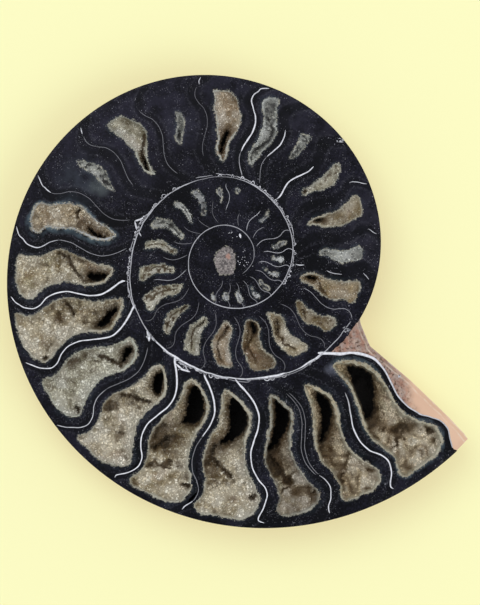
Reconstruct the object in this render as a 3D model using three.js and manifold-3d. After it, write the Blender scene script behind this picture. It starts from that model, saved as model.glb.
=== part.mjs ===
// One half of a fossil ammonite, sawn through its middle plane and polished.
//
// The polished cut faces up and the convex natural back faces down. Each whorl is parted by septa
// into chambers. Most chambers are black stone right through, and 31 stayed open and are lined
// with a crust of small crystals. Pink sediment fills the shell beyond the last septum.
//
// A place in the coil is given by a turn angle, in degrees along the spiral from the centre, and
// by a share of the way across the whorl: 0 on its inner wall and 1 on its outer wall.
// Millimetres, +Z up, origin under the middle of the bounding box.

import * as THREE from 'three';
import { mergeVertices } from 'three/addons/utils/BufferGeometryUtils.js';
import Module from 'manifold-3d';

const wasm = await Module();
wasm.setup();

// Driving sizes of the coil
const THICKNESS = 15.5;
const REFERENCE_TURN = 720;
const REFERENCE_RADIUS = 42.42;
const GROWTH_PER_QUARTER = 1.209;
const EARLY_SLOWING = 4.5e-7;
const RIM_SHARE = 0.997;
const OVAL = 0.0054;
const FIRST_TURN = 695.5;
const LAST_TURN = 1043.2;
const COIL_CENTRE_X = -2.49;
const COIL_CENTRE_Y = 11.91;

// The natural back: half width of a whorl against the distance from the coil's axis, as shares of
// the whorl's greatest half width and of its outer radius
const HALF_WIDTH = 16.0;
const WIDTH_GROWTH_RADIUS = 24;
const FLANK = [
  [0.0, -1], [0.19, 0.2], [0.24, 0.5], [0.29, 0.84], [0.345, 0.985], [0.39, 1], [0.46, 0.975],
  [0.58, 0.89], [0.7, 0.77], [0.8, 0.63], [0.88, 0.48], [0.94, 0.33], [0.975, 0.2], [1.0, 0.045],
];
const WHORLS_SEEN = 4;
const CORE_DEPTH = 2.2;
const BACK_RINGS = [
  0.06, 0.11, 0.16, 0.2, 0.24, 0.29, 0.345, 0.46, 0.58, 0.7, 0.8, 0.88, 0.94, 0.975, 1,
];
const BACK_COLUMNS = 68;

// The broken end of the last whorl, from the whorl before it out to the tip, from the coil's axis
const BROKEN_END = [[36.9, -18.2], [39.5, -24.4], [50.7, -33.9], [61.5, -43.1], [67.2, -50.3]];
const BROKEN_END_INNER_ANGLE = -25;

// How far a septum sways from its turn angle across the whorl: share across, degrees
const SWAY = [
  [-0.08, -4.5], [-0.02, -2.5], [0.04, 0.6], [0.1, 2.9], [0.16, 4.3], [0.22, 4.9], [0.3, 4.2],
  [0.4, 2.2], [0.5, 0.4], [0.58, 0], [0.66, 0.6], [0.73, 2.3], [0.79, 3.0], [0.85, 2.5],
  [0.92, 0.3], [0.97, -1.6], [1.0, -2.8], [1.1, -7],
];

// The last septum, where the sediment begins: turn angle, share across
const LAST_SEPTUM = [
  [1037.3, 0.012], [1044.4, 0.11], [1045.7, 0.21], [1044.9, 0.31], [1042.1, 0.435],
  [1040.2, 0.573], [1041.6, 0.73], [1042.1, 0.83], [1040.1, 0.94], [1039.3, 0.985],
];

// The rest of the outline that the sediment is parted off by, past the rim and the broken end
const SEDIMENT_SURROUND = [
  [1039.3, 1.2], [1050, 1.2], [1056, 0.7], [1056, 0.012], [1050, 0.012], [1044, 0.012],
];

// Clearances between pieces, and the least wall left behind a pocket
const JOINT_GAP = 0.3;
const CRUST_GAP_LARGE = 0.42;
const CRUST_GAP_SMALL = 0.25;
const BACK_WALL = 1.6;

// The open chambers, youngest first. Each row is a share across the whorl with the turn angles of
// the crust's two edges there, before the sway of the septa is added. The pit is the deepest
// place, as turn angle and share across, and depth is the pocket's depth there.
const CHAMBERS = [
  { depth: 10.5, pit: [1034.2, 0.28], rows: [[0.94, 1029.2, 1037.4], [0.8, 1026.8, 1038.4],
    [0.65, 1027.9, 1038.5], [0.5, 1028.4, 1039], [0.3, 1028.4, 1038.6], [0.125, 1030, 1037],
    [0.06, 1032.4, 1034.6]] },
  { depth: 11, pit: [1018.8, 0.28], rows: [[0.915, 1015, 1021.6], [0.82, 1013.1, 1022.6],
    [0.65, 1014.4, 1022.2], [0.5, 1014.2, 1022.4], [0.35, 1013.7, 1022.2], [0.2, 1014.5, 1021.8],
    [0.09, 1017.8, 1019.4]] },
  { depth: 11.5, pit: [1004.2, 0.27], rows: [[0.92, 1001.2, 1005.8], [0.84, 998.6, 1008.2],
    [0.65, 1000.4, 1008.2], [0.45, 999.3, 1007.1], [0.3, 999.4, 1007.4], [0.2, 1000, 1007.8],
    [0.09, 1003.8, 1005.5]] },
  { depth: 11.5, pit: [989.3, 0.24], rows: [[0.945, 984, 993.4], [0.86, 980.5, 994.5],
    [0.65, 982.4, 995], [0.45, 981.9, 993.6], [0.25, 981.8, 993.3], [0.12, 983.4, 992.2],
    [0.045, 986.8, 989.6]] },
  { depth: 11.5, pit: [973, 0.22], rows: [[0.94, 966.8, 976.6], [0.85, 964.4, 978],
    [0.65, 966.6, 978.7], [0.45, 965.1, 977.5], [0.25, 965.4, 977.8], [0.12, 966.8, 977.5],
    [0.04, 971.2, 974.4]] },
  { depth: 10.5, pit: [956.2, 0.19], rows: [[0.925, 949.6, 957.4], [0.82, 948, 961.5],
    [0.65, 949.2, 961.5], [0.45, 948.8, 960], [0.28, 949, 960], [0.15, 950.4, 959.3],
    [0.07, 954, 957.8]] },
  { depth: 9.5, pit: [938.6, 0.21], rows: [[0.9, 932.4, 939.6], [0.82, 930.7, 943.4],
    [0.65, 931.4, 943.7], [0.45, 931.1, 942.3], [0.28, 931.9, 942.7], [0.17, 933.4, 942.4],
    [0.1, 935.6, 940.4]] },
  { depth: 10, pit: [921.8, 0.23], rows: [[0.945, 914.8, 921.4], [0.83, 913.2, 926.5],
    [0.65, 913.4, 926.7], [0.45, 912.7, 925.4], [0.27, 913.2, 926.2], [0.14, 914.9, 924.8],
    [0.055, 918.6, 921.4]] },
  { depth: 9, pit: [903.4, 0.22], rows: [[0.92, 898.8, 906], [0.82, 896.1, 908.6],
    [0.65, 896.8, 908], [0.45, 896.7, 907.2], [0.28, 896.9, 906.8], [0.16, 898.7, 905.6],
    [0.09, 901.8, 903.6]] },
  { depth: 8, pit: [885.6, 0.29], rows: [[0.88, 882.4, 887.6], [0.79, 880.2, 889.6],
    [0.66, 880.3, 889.6], [0.45, 880.3, 888.4], [0.3, 880.4, 887.7], [0.2, 881.2, 886.4],
    [0.14, 883.6, 884.8]] },
  { depth: 1.6, pit: [866.3, 0.53], rows: [[0.77, 863.6, 864.4], [0.68, 864.2, 867],
    [0.5, 864.2, 868.2], [0.34, 865.6, 866.2]] },
  { depth: 5, pit: [847.9, 0.37], rows: [[0.83, 844.4, 850], [0.72, 842.4, 850], [0.59, 843, 851.8],
    [0.45, 845.2, 850.6], [0.32, 846, 850], [0.24, 845.6, 849]] },
  { depth: 3.5, pit: [830.6, 0.45], rows: [[0.66, 828.2, 829.3], [0.57, 827.6, 831],
    [0.45, 828.8, 832], [0.36, 829.4, 830.4]] },
  { depth: 6.5, pit: [809.5, 0.34], rows: [[0.85, 808, 813.4], [0.77, 804.2, 812.2],
    [0.64, 804.8, 815.4], [0.47, 805.3, 814.4], [0.3, 806.2, 812.2], [0.16, 807.6, 811]] },
  { depth: 3.5, pit: [792.3, 0.4], rows: [[0.9, 791.4, 794.2], [0.79, 789, 795],
    [0.6, 789.2, 795.7], [0.44, 788.8, 795.1], [0.3, 789, 794.8], [0.17, 791.2, 793.2]] },
  { depth: 1.8, pit: [777.5, 0.57], rows: [[0.74, 773.4, 775], [0.66, 775, 778.8],
    [0.55, 776, 779.2], [0.44, 776.6, 778]] },
  { depth: 3.2, pit: [758.1, 0.42], rows: [[0.78, 756, 758.2], [0.67, 755.4, 761],
    [0.5, 755.4, 761.2], [0.37, 755.7, 759.4], [0.27, 755.4, 758.8]] },
  { depth: 4.5, pit: [739.6, 0.34], rows: [[0.82, 737, 743.4], [0.75, 735.2, 744.4],
    [0.6, 736.7, 744.6], [0.44, 735.8, 743.4], [0.3, 736.4, 741.5], [0.19, 737.4, 740.6]] },
  { depth: 3, pit: [720.8, 0.42], rows: [[0.78, 717.6, 721.6], [0.68, 718.2, 724.4],
    [0.54, 717.8, 724.1], [0.4, 718.8, 723.2], [0.28, 718.6, 721]] },
  { depth: 5, pit: [702.6, 0.3], rows: [[0.84, 699, 705.6], [0.76, 697.4, 708],
    [0.6, 698.8, 708.6], [0.42, 697.6, 707.2], [0.25, 697.8, 705.8], [0.11, 701, 704]] },
  { depth: 3.5, pit: [682.3, 0.4], rows: [[0.79, 681.4, 686.6], [0.68, 682.3, 689.4],
    [0.53, 680.7, 687.2], [0.38, 678.3, 685.4], [0.22, 681, 684.4]] },
  { depth: 4.2, pit: [663, 0.32], rows: [[0.78, 661, 668], [0.68, 660.5, 671.1],
    [0.52, 659.3, 669.3], [0.36, 657.6, 667.6], [0.22, 658.6, 667.3], [0.09, 662.2, 663.4]] },
  { depth: 4.5, pit: [644.5, 0.27], rows: [[0.82, 641, 649.8], [0.7, 638.7, 652.8],
    [0.52, 638.2, 650.6], [0.36, 636.3, 648.5], [0.22, 637.8, 650.2], [0.1, 642.2, 648]] },
  { depth: 4, pit: [622.8, 0.29], rows: [[0.775, 621, 628.6], [0.66, 620.5, 630.7],
    [0.5, 617.9, 629.6], [0.34, 616.4, 627.5], [0.22, 618.3, 628.2], [0.125, 622, 625.4]] },
  { depth: 3.2, pit: [602.9, 0.34], rows: [[0.75, 601, 606], [0.67, 602, 611.5],
    [0.5, 599.7, 610], [0.36, 598.4, 606], [0.18, 601.1, 605.8]] },
  { depth: 2, pit: [583.6, 0.4], rows: [[0.75, 585, 589], [0.64, 583.4, 590.2],
    [0.48, 580.4, 587.6], [0.32, 580.3, 586.2], [0.2, 581.6, 585.5]] },
  { depth: 2, pit: [564.5, 0.42], rows: [[0.785, 561, 568.6], [0.68, 562, 572],
    [0.52, 560.5, 570.4], [0.36, 559.2, 569], [0.18, 561.5, 568.8], [0.1, 565.4, 566.6]] },
  { depth: 1.8, pit: [546.4, 0.44], rows: [[0.775, 543.6, 550.4], [0.68, 543.6, 552.8],
    [0.5, 542.8, 550.3], [0.36, 541.6, 549.2], [0.19, 544, 547.9]] },
  { depth: 1.8, pit: [527.6, 0.44], rows: [[0.75, 525.3, 530.4], [0.64, 525.9, 532],
    [0.48, 523.7, 530.3], [0.34, 523.5, 530.2], [0.18, 525.7, 529.2]] },
  { depth: 1.6, pit: [509.6, 0.48], rows: [[0.79, 506.4, 512.6], [0.66, 507.5, 514.6],
    [0.48, 505.8, 512.6], [0.18, 508.7, 511.9]] },
  { depth: 1.5, pit: [491.4, 0.5], rows: [[0.75, 489.4, 492], [0.66, 489.6, 495],
    [0.45, 488.9, 493.4], [0.24, 490, 491.4]] },
];

// A large pocket is deeper than this. It gets more sides and a steeper pit.
const LARGE_POCKET_DEPTH = 7;
const SIDES_LARGE = 18;
const SIDES_SMALL = 11;

// Pocket walls in the stone: share of the way out from the pit, share of the depth
const POCKET_WALL_LARGE = [[0.4, 1], [0.7, 0.8]];
const POCKET_WALL_SMALL = [[0.3, 1], [0.7, 0.8]];

// Floor of the crust, from its rim to its pit: share of the way out, share of the inner depth
const CRUST_RIM_WIDTH = 0.45;
const CRUST_RIM_DEPTH = 0.12;
const CRUST_FLOOR_LARGE = [[0.86, 0.14], [0.6, 0.3], [0.34, 0.8]];
const CRUST_FLOOR_SMALL = [[0.55, 0.5]];
const CRUST_BASE = 0.9;
const LUMP = 0.34;

const radians = THREE.MathUtils.degToRad;
const degrees = THREE.MathUtils.radToDeg;

// Smooth curve through points whose first value rises, by cubic pieces with averaged slopes
function follow(points, x) {
  const last = points.length - 1;
  const clamped = THREE.MathUtils.clamp(x, points[0][0], points[last][0]);
  const slope = (a, b) => (points[b][1] - points[a][1]) / (points[b][0] - points[a][0]);
  const tangent = (i) => {
    if (i === 0) return slope(0, 1);
    if (i === last) return slope(last - 1, last);
    const before = slope(i - 1, i);
    const after = slope(i, i + 1);
    return before * after <= 0 ? 0 : (2 * before * after) / (before + after);
  };
  let i = 0;
  while (i < last - 1 && clamped > points[i + 1][0]) i += 1;
  const span = points[i + 1][0] - points[i][0];
  const u = (clamped - points[i][0]) / span;
  const rise = points[i + 1][1] - points[i][1];
  const bend = u * (1 - u) * ((1 - u) * tangent(i) - u * tangent(i + 1)) * span;
  return points[i][1] + rise * u * u * (3 - 2 * u) + bend;
}

// Radius of a whorl's outer wall at a turn angle
function wallRadius(turn) {
  const quarters = (turn - REFERENCE_TURN) / 90;
  const slowing = turn < REFERENCE_TURN ? EARLY_SLOWING * (REFERENCE_TURN - turn) ** 2 : 0;
  return REFERENCE_RADIUS * Math.exp(Math.log(GROWTH_PER_QUARTER) * quarters - slowing);
}

// Radius of the specimen's outline, which is a little oval
function rimRadius(turn) {
  return wallRadius(turn) * (RIM_SHARE - OVAL * Math.sin(radians(2 * turn)));
}

// Place on the cut, from the coil's axis, of a turn angle and a share across the whorl
function place(turn, share) {
  const inner = wallRadius(turn - 360);
  const radius = inner + share * (wallRadius(turn) - inner);
  return new THREE.Vector2(radius, 0).rotateAround(new THREE.Vector2(), radians(turn));
}

// Angle of the broken end at a distance from the coil's axis
function brokenEndAngle(radius) {
  const points = BROKEN_END.map(([x, y]) => [Math.hypot(x, y), degrees(Math.atan2(y, x))]);
  return radius < points[0][0] ? BROKEN_END_INNER_ANGLE : follow(points, radius);
}

// How far the natural back lies below the cut: each whorl's flank covers part of the one before
function backDepth(x, y) {
  const radius = Math.hypot(x, y);
  const angle = degrees(Math.atan2(y, x));
  const sinceTip = THREE.MathUtils.euclideanModulo(angle - brokenEndAngle(radius), 360);
  const youngest = brokenEndAngle(radius) + 720 + sinceTip;
  let depth = CORE_DEPTH;
  for (let whorl = 0; whorl < WHORLS_SEEN; whorl += 1) {
    const outer = wallRadius(youngest - 360 * whorl);
    const widest = HALF_WIDTH * (1 - Math.exp(-((outer / WIDTH_GROWTH_RADIUS) ** 2)));
    if (radius <= outer * 1.02) depth = Math.max(depth, widest * follow(FLANK, radius / outer));
  }
  return Math.min(depth, THICKNESS);
}

// Closed solid through rings of equal count. The first and last rings are closed by fans.
function ringSolid(startPoint, rings, endPoint) {
  const count = rings[0].length;
  const points = [startPoint, ...rings.flat(), endPoint];
  const end = points.length - 1;
  const at = (ring, i) => 1 + ring * count + (i % count);
  const faces = [];
  for (let i = 0; i < count; i += 1) {
    faces.push(0, at(0, i + 1), at(0, i));
    faces.push(end, at(rings.length - 1, i), at(rings.length - 1, i + 1));
    for (let ring = 0; ring < rings.length - 1; ring += 1) {
      faces.push(at(ring, i), at(ring, i + 1), at(ring + 1, i + 1));
      faces.push(at(ring, i), at(ring + 1, i + 1), at(ring + 1, i));
    }
  }
  const geometry = new THREE.BufferGeometry().setFromPoints(points);
  geometry.setIndex(faces);
  return geometry;
}

// A manifold solid from a closed geometry, and back
function toSolid(geometry) {
  geometry.deleteAttribute('normal');
  geometry.deleteAttribute('uv');
  const merged = mergeVertices(geometry, 1e-4);
  return new wasm.Manifold(new wasm.Mesh({
    numProp: 3,
    vertProperties: new Float32Array(merged.attributes.position.array),
    triVerts: new Uint32Array(merged.index.array),
  }));
}

function toGeometry(solid) {
  const mesh = solid.getMesh();
  const geometry = new THREE.BufferGeometry();
  geometry.setAttribute('position', new THREE.BufferAttribute(mesh.vertProperties, 3));
  geometry.setIndex(new THREE.BufferAttribute(mesh.triVerts, 1));
  return geometry;
}

// The whole half, before the chambers are cut and the sediment is parted off
function wholeHalf() {
  const outline = [];
  for (let i = 0; i <= BACK_COLUMNS; i += 1) {
    const turn = FIRST_TURN + ((LAST_TURN - FIRST_TURN) * i) / BACK_COLUMNS;
    const radius = i === BACK_COLUMNS ? wallRadius(turn) : rimRadius(turn);
    outline.push(new THREE.Vector2(radius, 0).rotateAround(new THREE.Vector2(), radians(turn)));
  }
  const broken = BROKEN_END.slice(0, -1).reverse();
  outline.push(...broken.map(([x, y]) => new THREE.Vector2(x, y)));
  const rings = BACK_RINGS.map((share) => outline.map((rim) => {
    const point = rim.clone().multiplyScalar(share);
    return new THREE.Vector3(point.x, point.y, THICKNESS - backDepth(point.x, point.y));
  }));
  rings.push(outline.map((rim) => new THREE.Vector3(rim.x, rim.y, THICKNESS)));
  const navel = new THREE.Vector3(0, 0, THICKNESS - CORE_DEPTH);
  return toSolid(ringSolid(navel, rings, new THREE.Vector3(0, 0, THICKNESS)));
}

// The outline moved inwards. It runs clockwise, and each corner moves along the line halving it.
function movedIn(points, distance) {
  return points.map((point, i) => {
    const before = points[(i + points.length - 1) % points.length];
    const after = points[(i + 1) % points.length];
    const arriving = point.clone().sub(before).normalize();
    const along = after.clone().sub(point).normalize().add(arriving).normalize();
    const moved = point.clone();
    moved.x += along.y * distance;
    moved.y -= along.x * distance;
    return moved;
  });
}

// A tall block over the sediment's outline: the last septum, then past the rim and back along the
// whorl before
function sedimentBlock(clearance) {
  const outline = [...LAST_SEPTUM, ...SEDIMENT_SURROUND].map(([turn, share]) => place(turn, share));
  if (THREE.ShapeUtils.area(outline) > 0) outline.reverse();
  const shape = new THREE.Shape(movedIn(outline, clearance));
  const block = new THREE.ExtrudeGeometry(shape, { depth: THICKNESS + 2, bevelEnabled: false });
  return toSolid(block.translate(0, 0, -1));
}

// A chamber's outline laid out flat in millimetres, turned back to turn angle and share by spread
function chamberOutline(chamber, sides) {
  const [pitTurn, pitShare] = chamber.pit;
  const perDegree = radians(1) * place(pitTurn, 0.5).length();
  const perShare = wallRadius(pitTurn) - wallRadius(pitTurn - 360);
  const flat = (turn, share) => new THREE.Vector3(
    (turn - pitTurn) * perDegree, (share - pitShare) * perShare, 0);
  const left = chamber.rows.map(([share, turn]) => flat(turn, share));
  const right = chamber.rows.map(([share, , turn]) => flat(turn, share)).reverse();
  const curve = new THREE.CatmullRomCurve3([...left, ...right], true, 'centripetal');
  const points = curve.getSpacedPoints(sides).slice(0, sides);
  return THREE.ShapeUtils.area(points) > 0 ? points.reverse() : points;
}

// A ring of the flat outline, drawn in towards the pit, set in the coil at a depth below the cut
function ringAt(chamber, outline, scale, depthOf) {
  const [pitTurn, pitShare] = chamber.pit;
  const perDegree = radians(1) * place(pitTurn, 0.5).length();
  const perShare = wallRadius(pitTurn) - wallRadius(pitTurn - 360);
  return outline.map((point, i) => {
    const turn = pitTurn + (point.x * scale) / perDegree;
    const share = pitShare + (point.y * scale) / perShare;
    const spot = place(turn + follow(SWAY, share), share);
    return new THREE.Vector3(spot.x, spot.y, THICKNESS - depthOf(spot, i));
  });
}

// Repeatable scatter between -1 and 1
function scatter(...seeds) {
  const mixed = Math.sin(seeds.reduce((sum, seed) => sum * 57.31 + seed * 12.9898, 4.7)) * 43758.5453;
  return 2 * (mixed - Math.floor(mixed)) - 1;
}

const isLarge = (chamber) => chamber.depth > LARGE_POCKET_DEPTH;
const sidesOf = (chamber) => (isLarge(chamber) ? SIDES_LARGE : SIDES_SMALL);
const gapOf = (chamber) => (isLarge(chamber) ? CRUST_GAP_LARGE : CRUST_GAP_SMALL);

// The pocket in the stone, from the bottom of its pit up to the cut
function pocketWalls(chamber) {
  const outline = chamberOutline(chamber, sidesOf(chamber));
  const wall = isLarge(chamber) ? POCKET_WALL_LARGE : POCKET_WALL_SMALL;
  const limited = (share) => (spot) => Math.min(
    chamber.depth * share, backDepth(spot.x, spot.y) - BACK_WALL);
  const rings = wall.map(([scale, share]) => ringAt(chamber, outline, scale, limited(share)));
  rings.push(ringAt(chamber, outline, 1, () => 0));
  const [pit] = ringAt(chamber, [new THREE.Vector3()], 1, limited(1));
  return { rings, pit };
}

function pocket(chamber) {
  const { rings, pit } = pocketWalls(chamber);
  rings.push(ringAt(chamber, chamberOutline(chamber, sidesOf(chamber)), 1, () => -1));
  return ringSolid(pit, rings, new THREE.Vector3(pit.x, pit.y, THICKNESS + 1));
}

// The crust's outside is the pocket's wall moved in by a clearance. Its inside is a lumpy floor.
function crust(chamber, index) {
  const { rings, pit } = pocketWalls(chamber);
  const cutter = pocket(chamber);
  cutter.computeVertexNormals();
  const normals = cutter.getAttribute('normal');
  const clear = (point, vertex, upright) => {
    const normal = new THREE.Vector3().fromBufferAttribute(normals, vertex);
    if (upright) normal.setZ(0).normalize();
    return point.clone().addScaledVector(normal, -gapOf(chamber));
  };
  const sides = sidesOf(chamber);
  const outside = rings.map((ring, level) => ring.map((point, i) => clear(
    point, 1 + level * sides + i, level === rings.length - 1)));
  const base = clear(pit, 0, false);

  const inner = movedIn(chamberOutline(chamber, sides), gapOf(chamber) + CRUST_RIM_WIDTH);
  const floorDepth = THICKNESS - base.z - CRUST_BASE;
  const floor = isLarge(chamber) ? CRUST_FLOOR_LARGE : CRUST_FLOOR_SMALL;
  const inside = [ringAt(chamber, inner, 1, () => CRUST_RIM_DEPTH)];
  floor.forEach(([scale, share], ring) => {
    const lumpy = (spot, i) => floorDepth * share * (1 + LUMP * scatter(index, ring, i));
    inside.push(ringAt(chamber, inner, scale, lumpy));
  });
  const floorPoint = new THREE.Vector3(pit.x, pit.y, THICKNESS - floorDepth);
  return ringSolid(base, [...outside, ...inside], floorPoint);
}

const stoneFinish = new THREE.MeshStandardMaterial({ color: 0x1c1a22, roughness: 0.3 });
const sedimentFinish = new THREE.MeshStandardMaterial({ color: 0xd9a68c, roughness: 0.75 });
const druseFinish = new THREE.MeshStandardMaterial({ color: 0xa0957a, roughness: 0.6 });

function piece(name, geometry, finish) {
  const mesh = new THREE.Mesh(geometry, finish);
  mesh.name = name;
  return mesh;
}

function ammonite() {
  const half = wholeHalf();
  const pockets = CHAMBERS.map((chamber) => toSolid(pocket(chamber)));
  const sediment = half.intersect(sedimentBlock(JOINT_GAP));
  let stone = half.subtract(sedimentBlock(0));
  for (const cutter of pockets) stone = stone.subtract(cutter);

  const group = new THREE.Group();
  group.add(piece('shell_stone', toGeometry(stone), stoneFinish));
  group.add(piece('matrix', toGeometry(sediment), sedimentFinish));
  CHAMBERS.forEach((chamber, i) => {
    const name = `druse_${String(i + 1).padStart(2, '0')}`;
    group.add(piece(name, crust(chamber, i + 1), druseFinish));
  });
  group.position.set(COIL_CENTRE_X, COIL_CENTRE_Y, 0);
  return group;
}

export default ammonite();
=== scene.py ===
"""Looks of one sawn and polished ammonite half: stone, septa, druse crusts and sediment.

Lengths in the classes are millimetres from the coil's axis, and depths are millimetres below the
top of the sawn face. Turn angles are degrees along the spiral from the centre. A share runs across
a whorl, from 0 on its inner wall to 1 on its outer wall. The septa sway from their turn angle as
they cross a whorl, so chambers and septa are given by the turn angle before that sway is added.
"""

import logging
import math
from collections.abc import Iterator, Sequence
from contextlib import contextmanager
from dataclasses import dataclass, field
from enum import Enum

import bmesh
import bpy
import numpy as np
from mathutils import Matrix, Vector


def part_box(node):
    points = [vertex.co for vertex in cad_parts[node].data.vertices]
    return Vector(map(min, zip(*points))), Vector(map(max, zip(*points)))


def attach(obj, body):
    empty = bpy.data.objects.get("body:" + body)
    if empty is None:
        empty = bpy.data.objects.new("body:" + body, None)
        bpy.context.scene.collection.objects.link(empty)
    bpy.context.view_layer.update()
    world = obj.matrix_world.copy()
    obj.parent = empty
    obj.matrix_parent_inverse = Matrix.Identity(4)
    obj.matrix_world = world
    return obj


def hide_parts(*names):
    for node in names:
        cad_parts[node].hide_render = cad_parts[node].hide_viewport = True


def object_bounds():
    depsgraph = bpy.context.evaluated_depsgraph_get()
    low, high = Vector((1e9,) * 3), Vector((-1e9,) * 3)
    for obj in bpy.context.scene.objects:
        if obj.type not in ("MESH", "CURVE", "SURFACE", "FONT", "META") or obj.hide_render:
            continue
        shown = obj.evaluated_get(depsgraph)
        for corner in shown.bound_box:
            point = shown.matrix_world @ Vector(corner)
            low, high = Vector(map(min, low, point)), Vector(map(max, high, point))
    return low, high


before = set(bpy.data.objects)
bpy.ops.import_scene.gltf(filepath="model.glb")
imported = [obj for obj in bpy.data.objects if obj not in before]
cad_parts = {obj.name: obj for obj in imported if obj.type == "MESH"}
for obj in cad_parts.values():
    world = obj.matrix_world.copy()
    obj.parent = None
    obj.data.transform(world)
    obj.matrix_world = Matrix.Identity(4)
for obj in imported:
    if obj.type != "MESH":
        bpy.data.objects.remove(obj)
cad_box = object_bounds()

MM = 0.001
LOG = logging.getLogger("ammonite")
Array = np.ndarray
Colour = tuple[float, float, float, float]
Pairs = tuple[tuple[float, float], ...]
Relief = tuple[tuple[float, float, int], ...]
Body = bpy.types.Object
Material = bpy.types.Material
Socket = bpy.types.NodeSocket
Tree = bpy.types.ShaderNodeTree


def follow(points: Sequence[Sequence[float]], x: Array | float) -> Array:
    """Reads a smooth curve through points, as a thin ruler would bend through them.

    Args:
        points: Pairs whose first value rises.
        x: Where to read the curve. It is held between the first and last point.

    Returns:
        The curve's value at each x.
    """
    known, value = np.array(points, float).T
    x = np.clip(x, known[0], known[-1])
    slope = np.diff(value) / np.diff(known)
    tangent = np.concatenate((slope[:1], np.zeros(len(known) - 2), slope[-1:]))
    before, after = slope[:-1], slope[1:]
    same_way = before * after > 0
    total = np.where(same_way, before + after, 1.0)
    tangent[1:-1] = np.where(same_way, 2 * before * after / total, 0.0)
    i = np.clip(np.searchsorted(known, x, side="right") - 1, 0, len(known) - 2)
    span = known[i + 1] - known[i]
    u = (x - known[i]) / span
    bend = u * (1 - u) * ((1 - u) * tangent[i] - u * tangent[i + 1]) * span
    return value[i] + (value[i + 1] - value[i]) * u * u * (3 - 2 * u) + bend


def ramp(x: Array, start: float, end: float) -> Array:
    """Rises smoothly from 0 at start to 1 at end."""
    u = np.clip((x - start) / (end - start), 0, 1)
    return u * u * (3 - 2 * u)


def plateau(x: Array, rise: tuple[float, float], fall: tuple[float, float]) -> Array:
    """Rises smoothly from 0 to 1 between the first two values, and falls back between the others."""
    return ramp(x, *rise) * (1 - ramp(x, *fall))


def hill(x: Array, middle: Array | float, width: float) -> Array:
    """A smooth hill, 1 at its middle and nearly 0 at twice its width."""
    return np.exp(-(((x - middle) / width) ** 2))


def lumps(x: Array, y: Array, size: float, seed: int) -> Array:
    """Smooth seeded noise.

    Args:
        x: Places along X.
        y: Places along Y.
        size: Distance between neighbouring lumps.
        seed: Which noise.

    Returns:
        Values from -1 to 1.
    """
    count = 128
    lattice = np.random.default_rng(seed).uniform(-1, 1, (count, count))
    across, along = x / size, y / size
    i, j = np.floor(across).astype(int), np.floor(along).astype(int)
    u, v = across - i, along - j
    u, v = u * u * (3 - 2 * u), v * v * (3 - 2 * v)

    def corner(di: int, dj: int) -> Array:
        """Lattice value at one corner of each cell."""
        return lattice[(i + di) % count, (j + dj) % count]

    low = corner(0, 0) * (1 - u) + corner(1, 0) * u
    high = corner(0, 1) * (1 - u) + corner(1, 1) * u
    return low * (1 - v) + high * v


def raised(places: Array, relief: Relief, seed: int = 0) -> Array:
    """Adds up smooth noises, each told by its height, its lumps' width and its seed."""
    return sum(height * lumps(*places.T, width, seed + number) for height, width, number in relief)


def to_loop(points: Array, loop: Array, closed: bool = True) -> tuple[Array, Array]:
    """Measures points against a line.

    Args:
        points: Places on the sawn face.
        loop: Corners of the line.
        closed: Whether the line closes on itself.

    Returns:
        The distance to the line, counted positive inside a closed line and negative elsewhere, and
        the nearest place on the line.
    """
    ends = np.roll(loop, -1, axis=0)
    count = len(loop) if closed else len(loop) - 1
    best = np.full(len(points), np.inf)
    nearest = np.zeros_like(points)
    inside = np.zeros(len(points), bool)
    for start, end in zip(loop[:count], ends[:count]):
        along = end - start
        share = np.clip((points - start) @ along / max(along @ along, 1e-12), 0, 1)
        spot = start + share[:, None] * along
        distance = np.hypot(*(points - spot).T)
        closer = distance < best
        best[closer], nearest[closer] = distance[closer], spot[closer]
        if closed and start[1] != end[1]:
            between = (start[1] > points[:, 1]) != (end[1] > points[:, 1])
            crossing = start[0] + (points[:, 1] - start[1]) * along[0] / along[1]
            inside ^= between & (points[:, 0] < crossing)
    return np.where(inside, best, -best), nearest


def softened(loop: Array, cuts: Sequence[float]) -> Array:
    """Cuts a closed line's corners off, each time by at most the given length."""
    for cut in cuts:
        corners = []
        for before, corner, after in zip(np.roll(loop, 1, axis=0), loop, np.roll(loop, -1, axis=0)):
            for other in (before, after):
                side = other - corner
                length = max(float(np.hypot(*side)), 1e-9)
                corners.append(corner + side * min(0.25, cut / length))
        loop = np.array(corners)
    return loop


def outward(loop: Array) -> Array:
    """Directions square to a closed line, away from its inside, at each of its points."""
    ahead = np.roll(loop, -1, axis=0) - np.roll(loop, 1, axis=0)
    return np.column_stack((ahead[:, 1], -ahead[:, 0])) / np.hypot(*ahead.T)[:, None]


def evenly(line: Array, spacing: float, closed: bool) -> Array:
    """Places points along a line at an even spacing.

    Args:
        line: Corners of the line.
        spacing: Rough distance between points.
        closed: Whether the line closes on itself.

    Returns:
        The points, without a repeated first point when closed.
    """
    whole = np.vstack((line, line[:1])) if closed else line
    reach = np.concatenate(([0], np.cumsum(np.hypot(*np.diff(whole, axis=0).T))))
    count = max(3, round(reach[-1] / spacing))
    at = np.linspace(0, reach[-1], count + 1)
    points = np.column_stack([np.interp(at, reach, column) for column in whole.T])
    return points[:-1] if closed else points


def srgb(red: int, green: int, blue: int) -> Colour:
    """Scene-linear colour from screen values between 0 and 255."""
    shares = [value / 255 for value in (red, green, blue)]
    linear = [s / 12.92 if s <= 0.04045 else ((s + 0.055) / 1.055) ** 2.4 for s in shares]
    return (*linear, 1.0)


# Form of the coil


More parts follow.
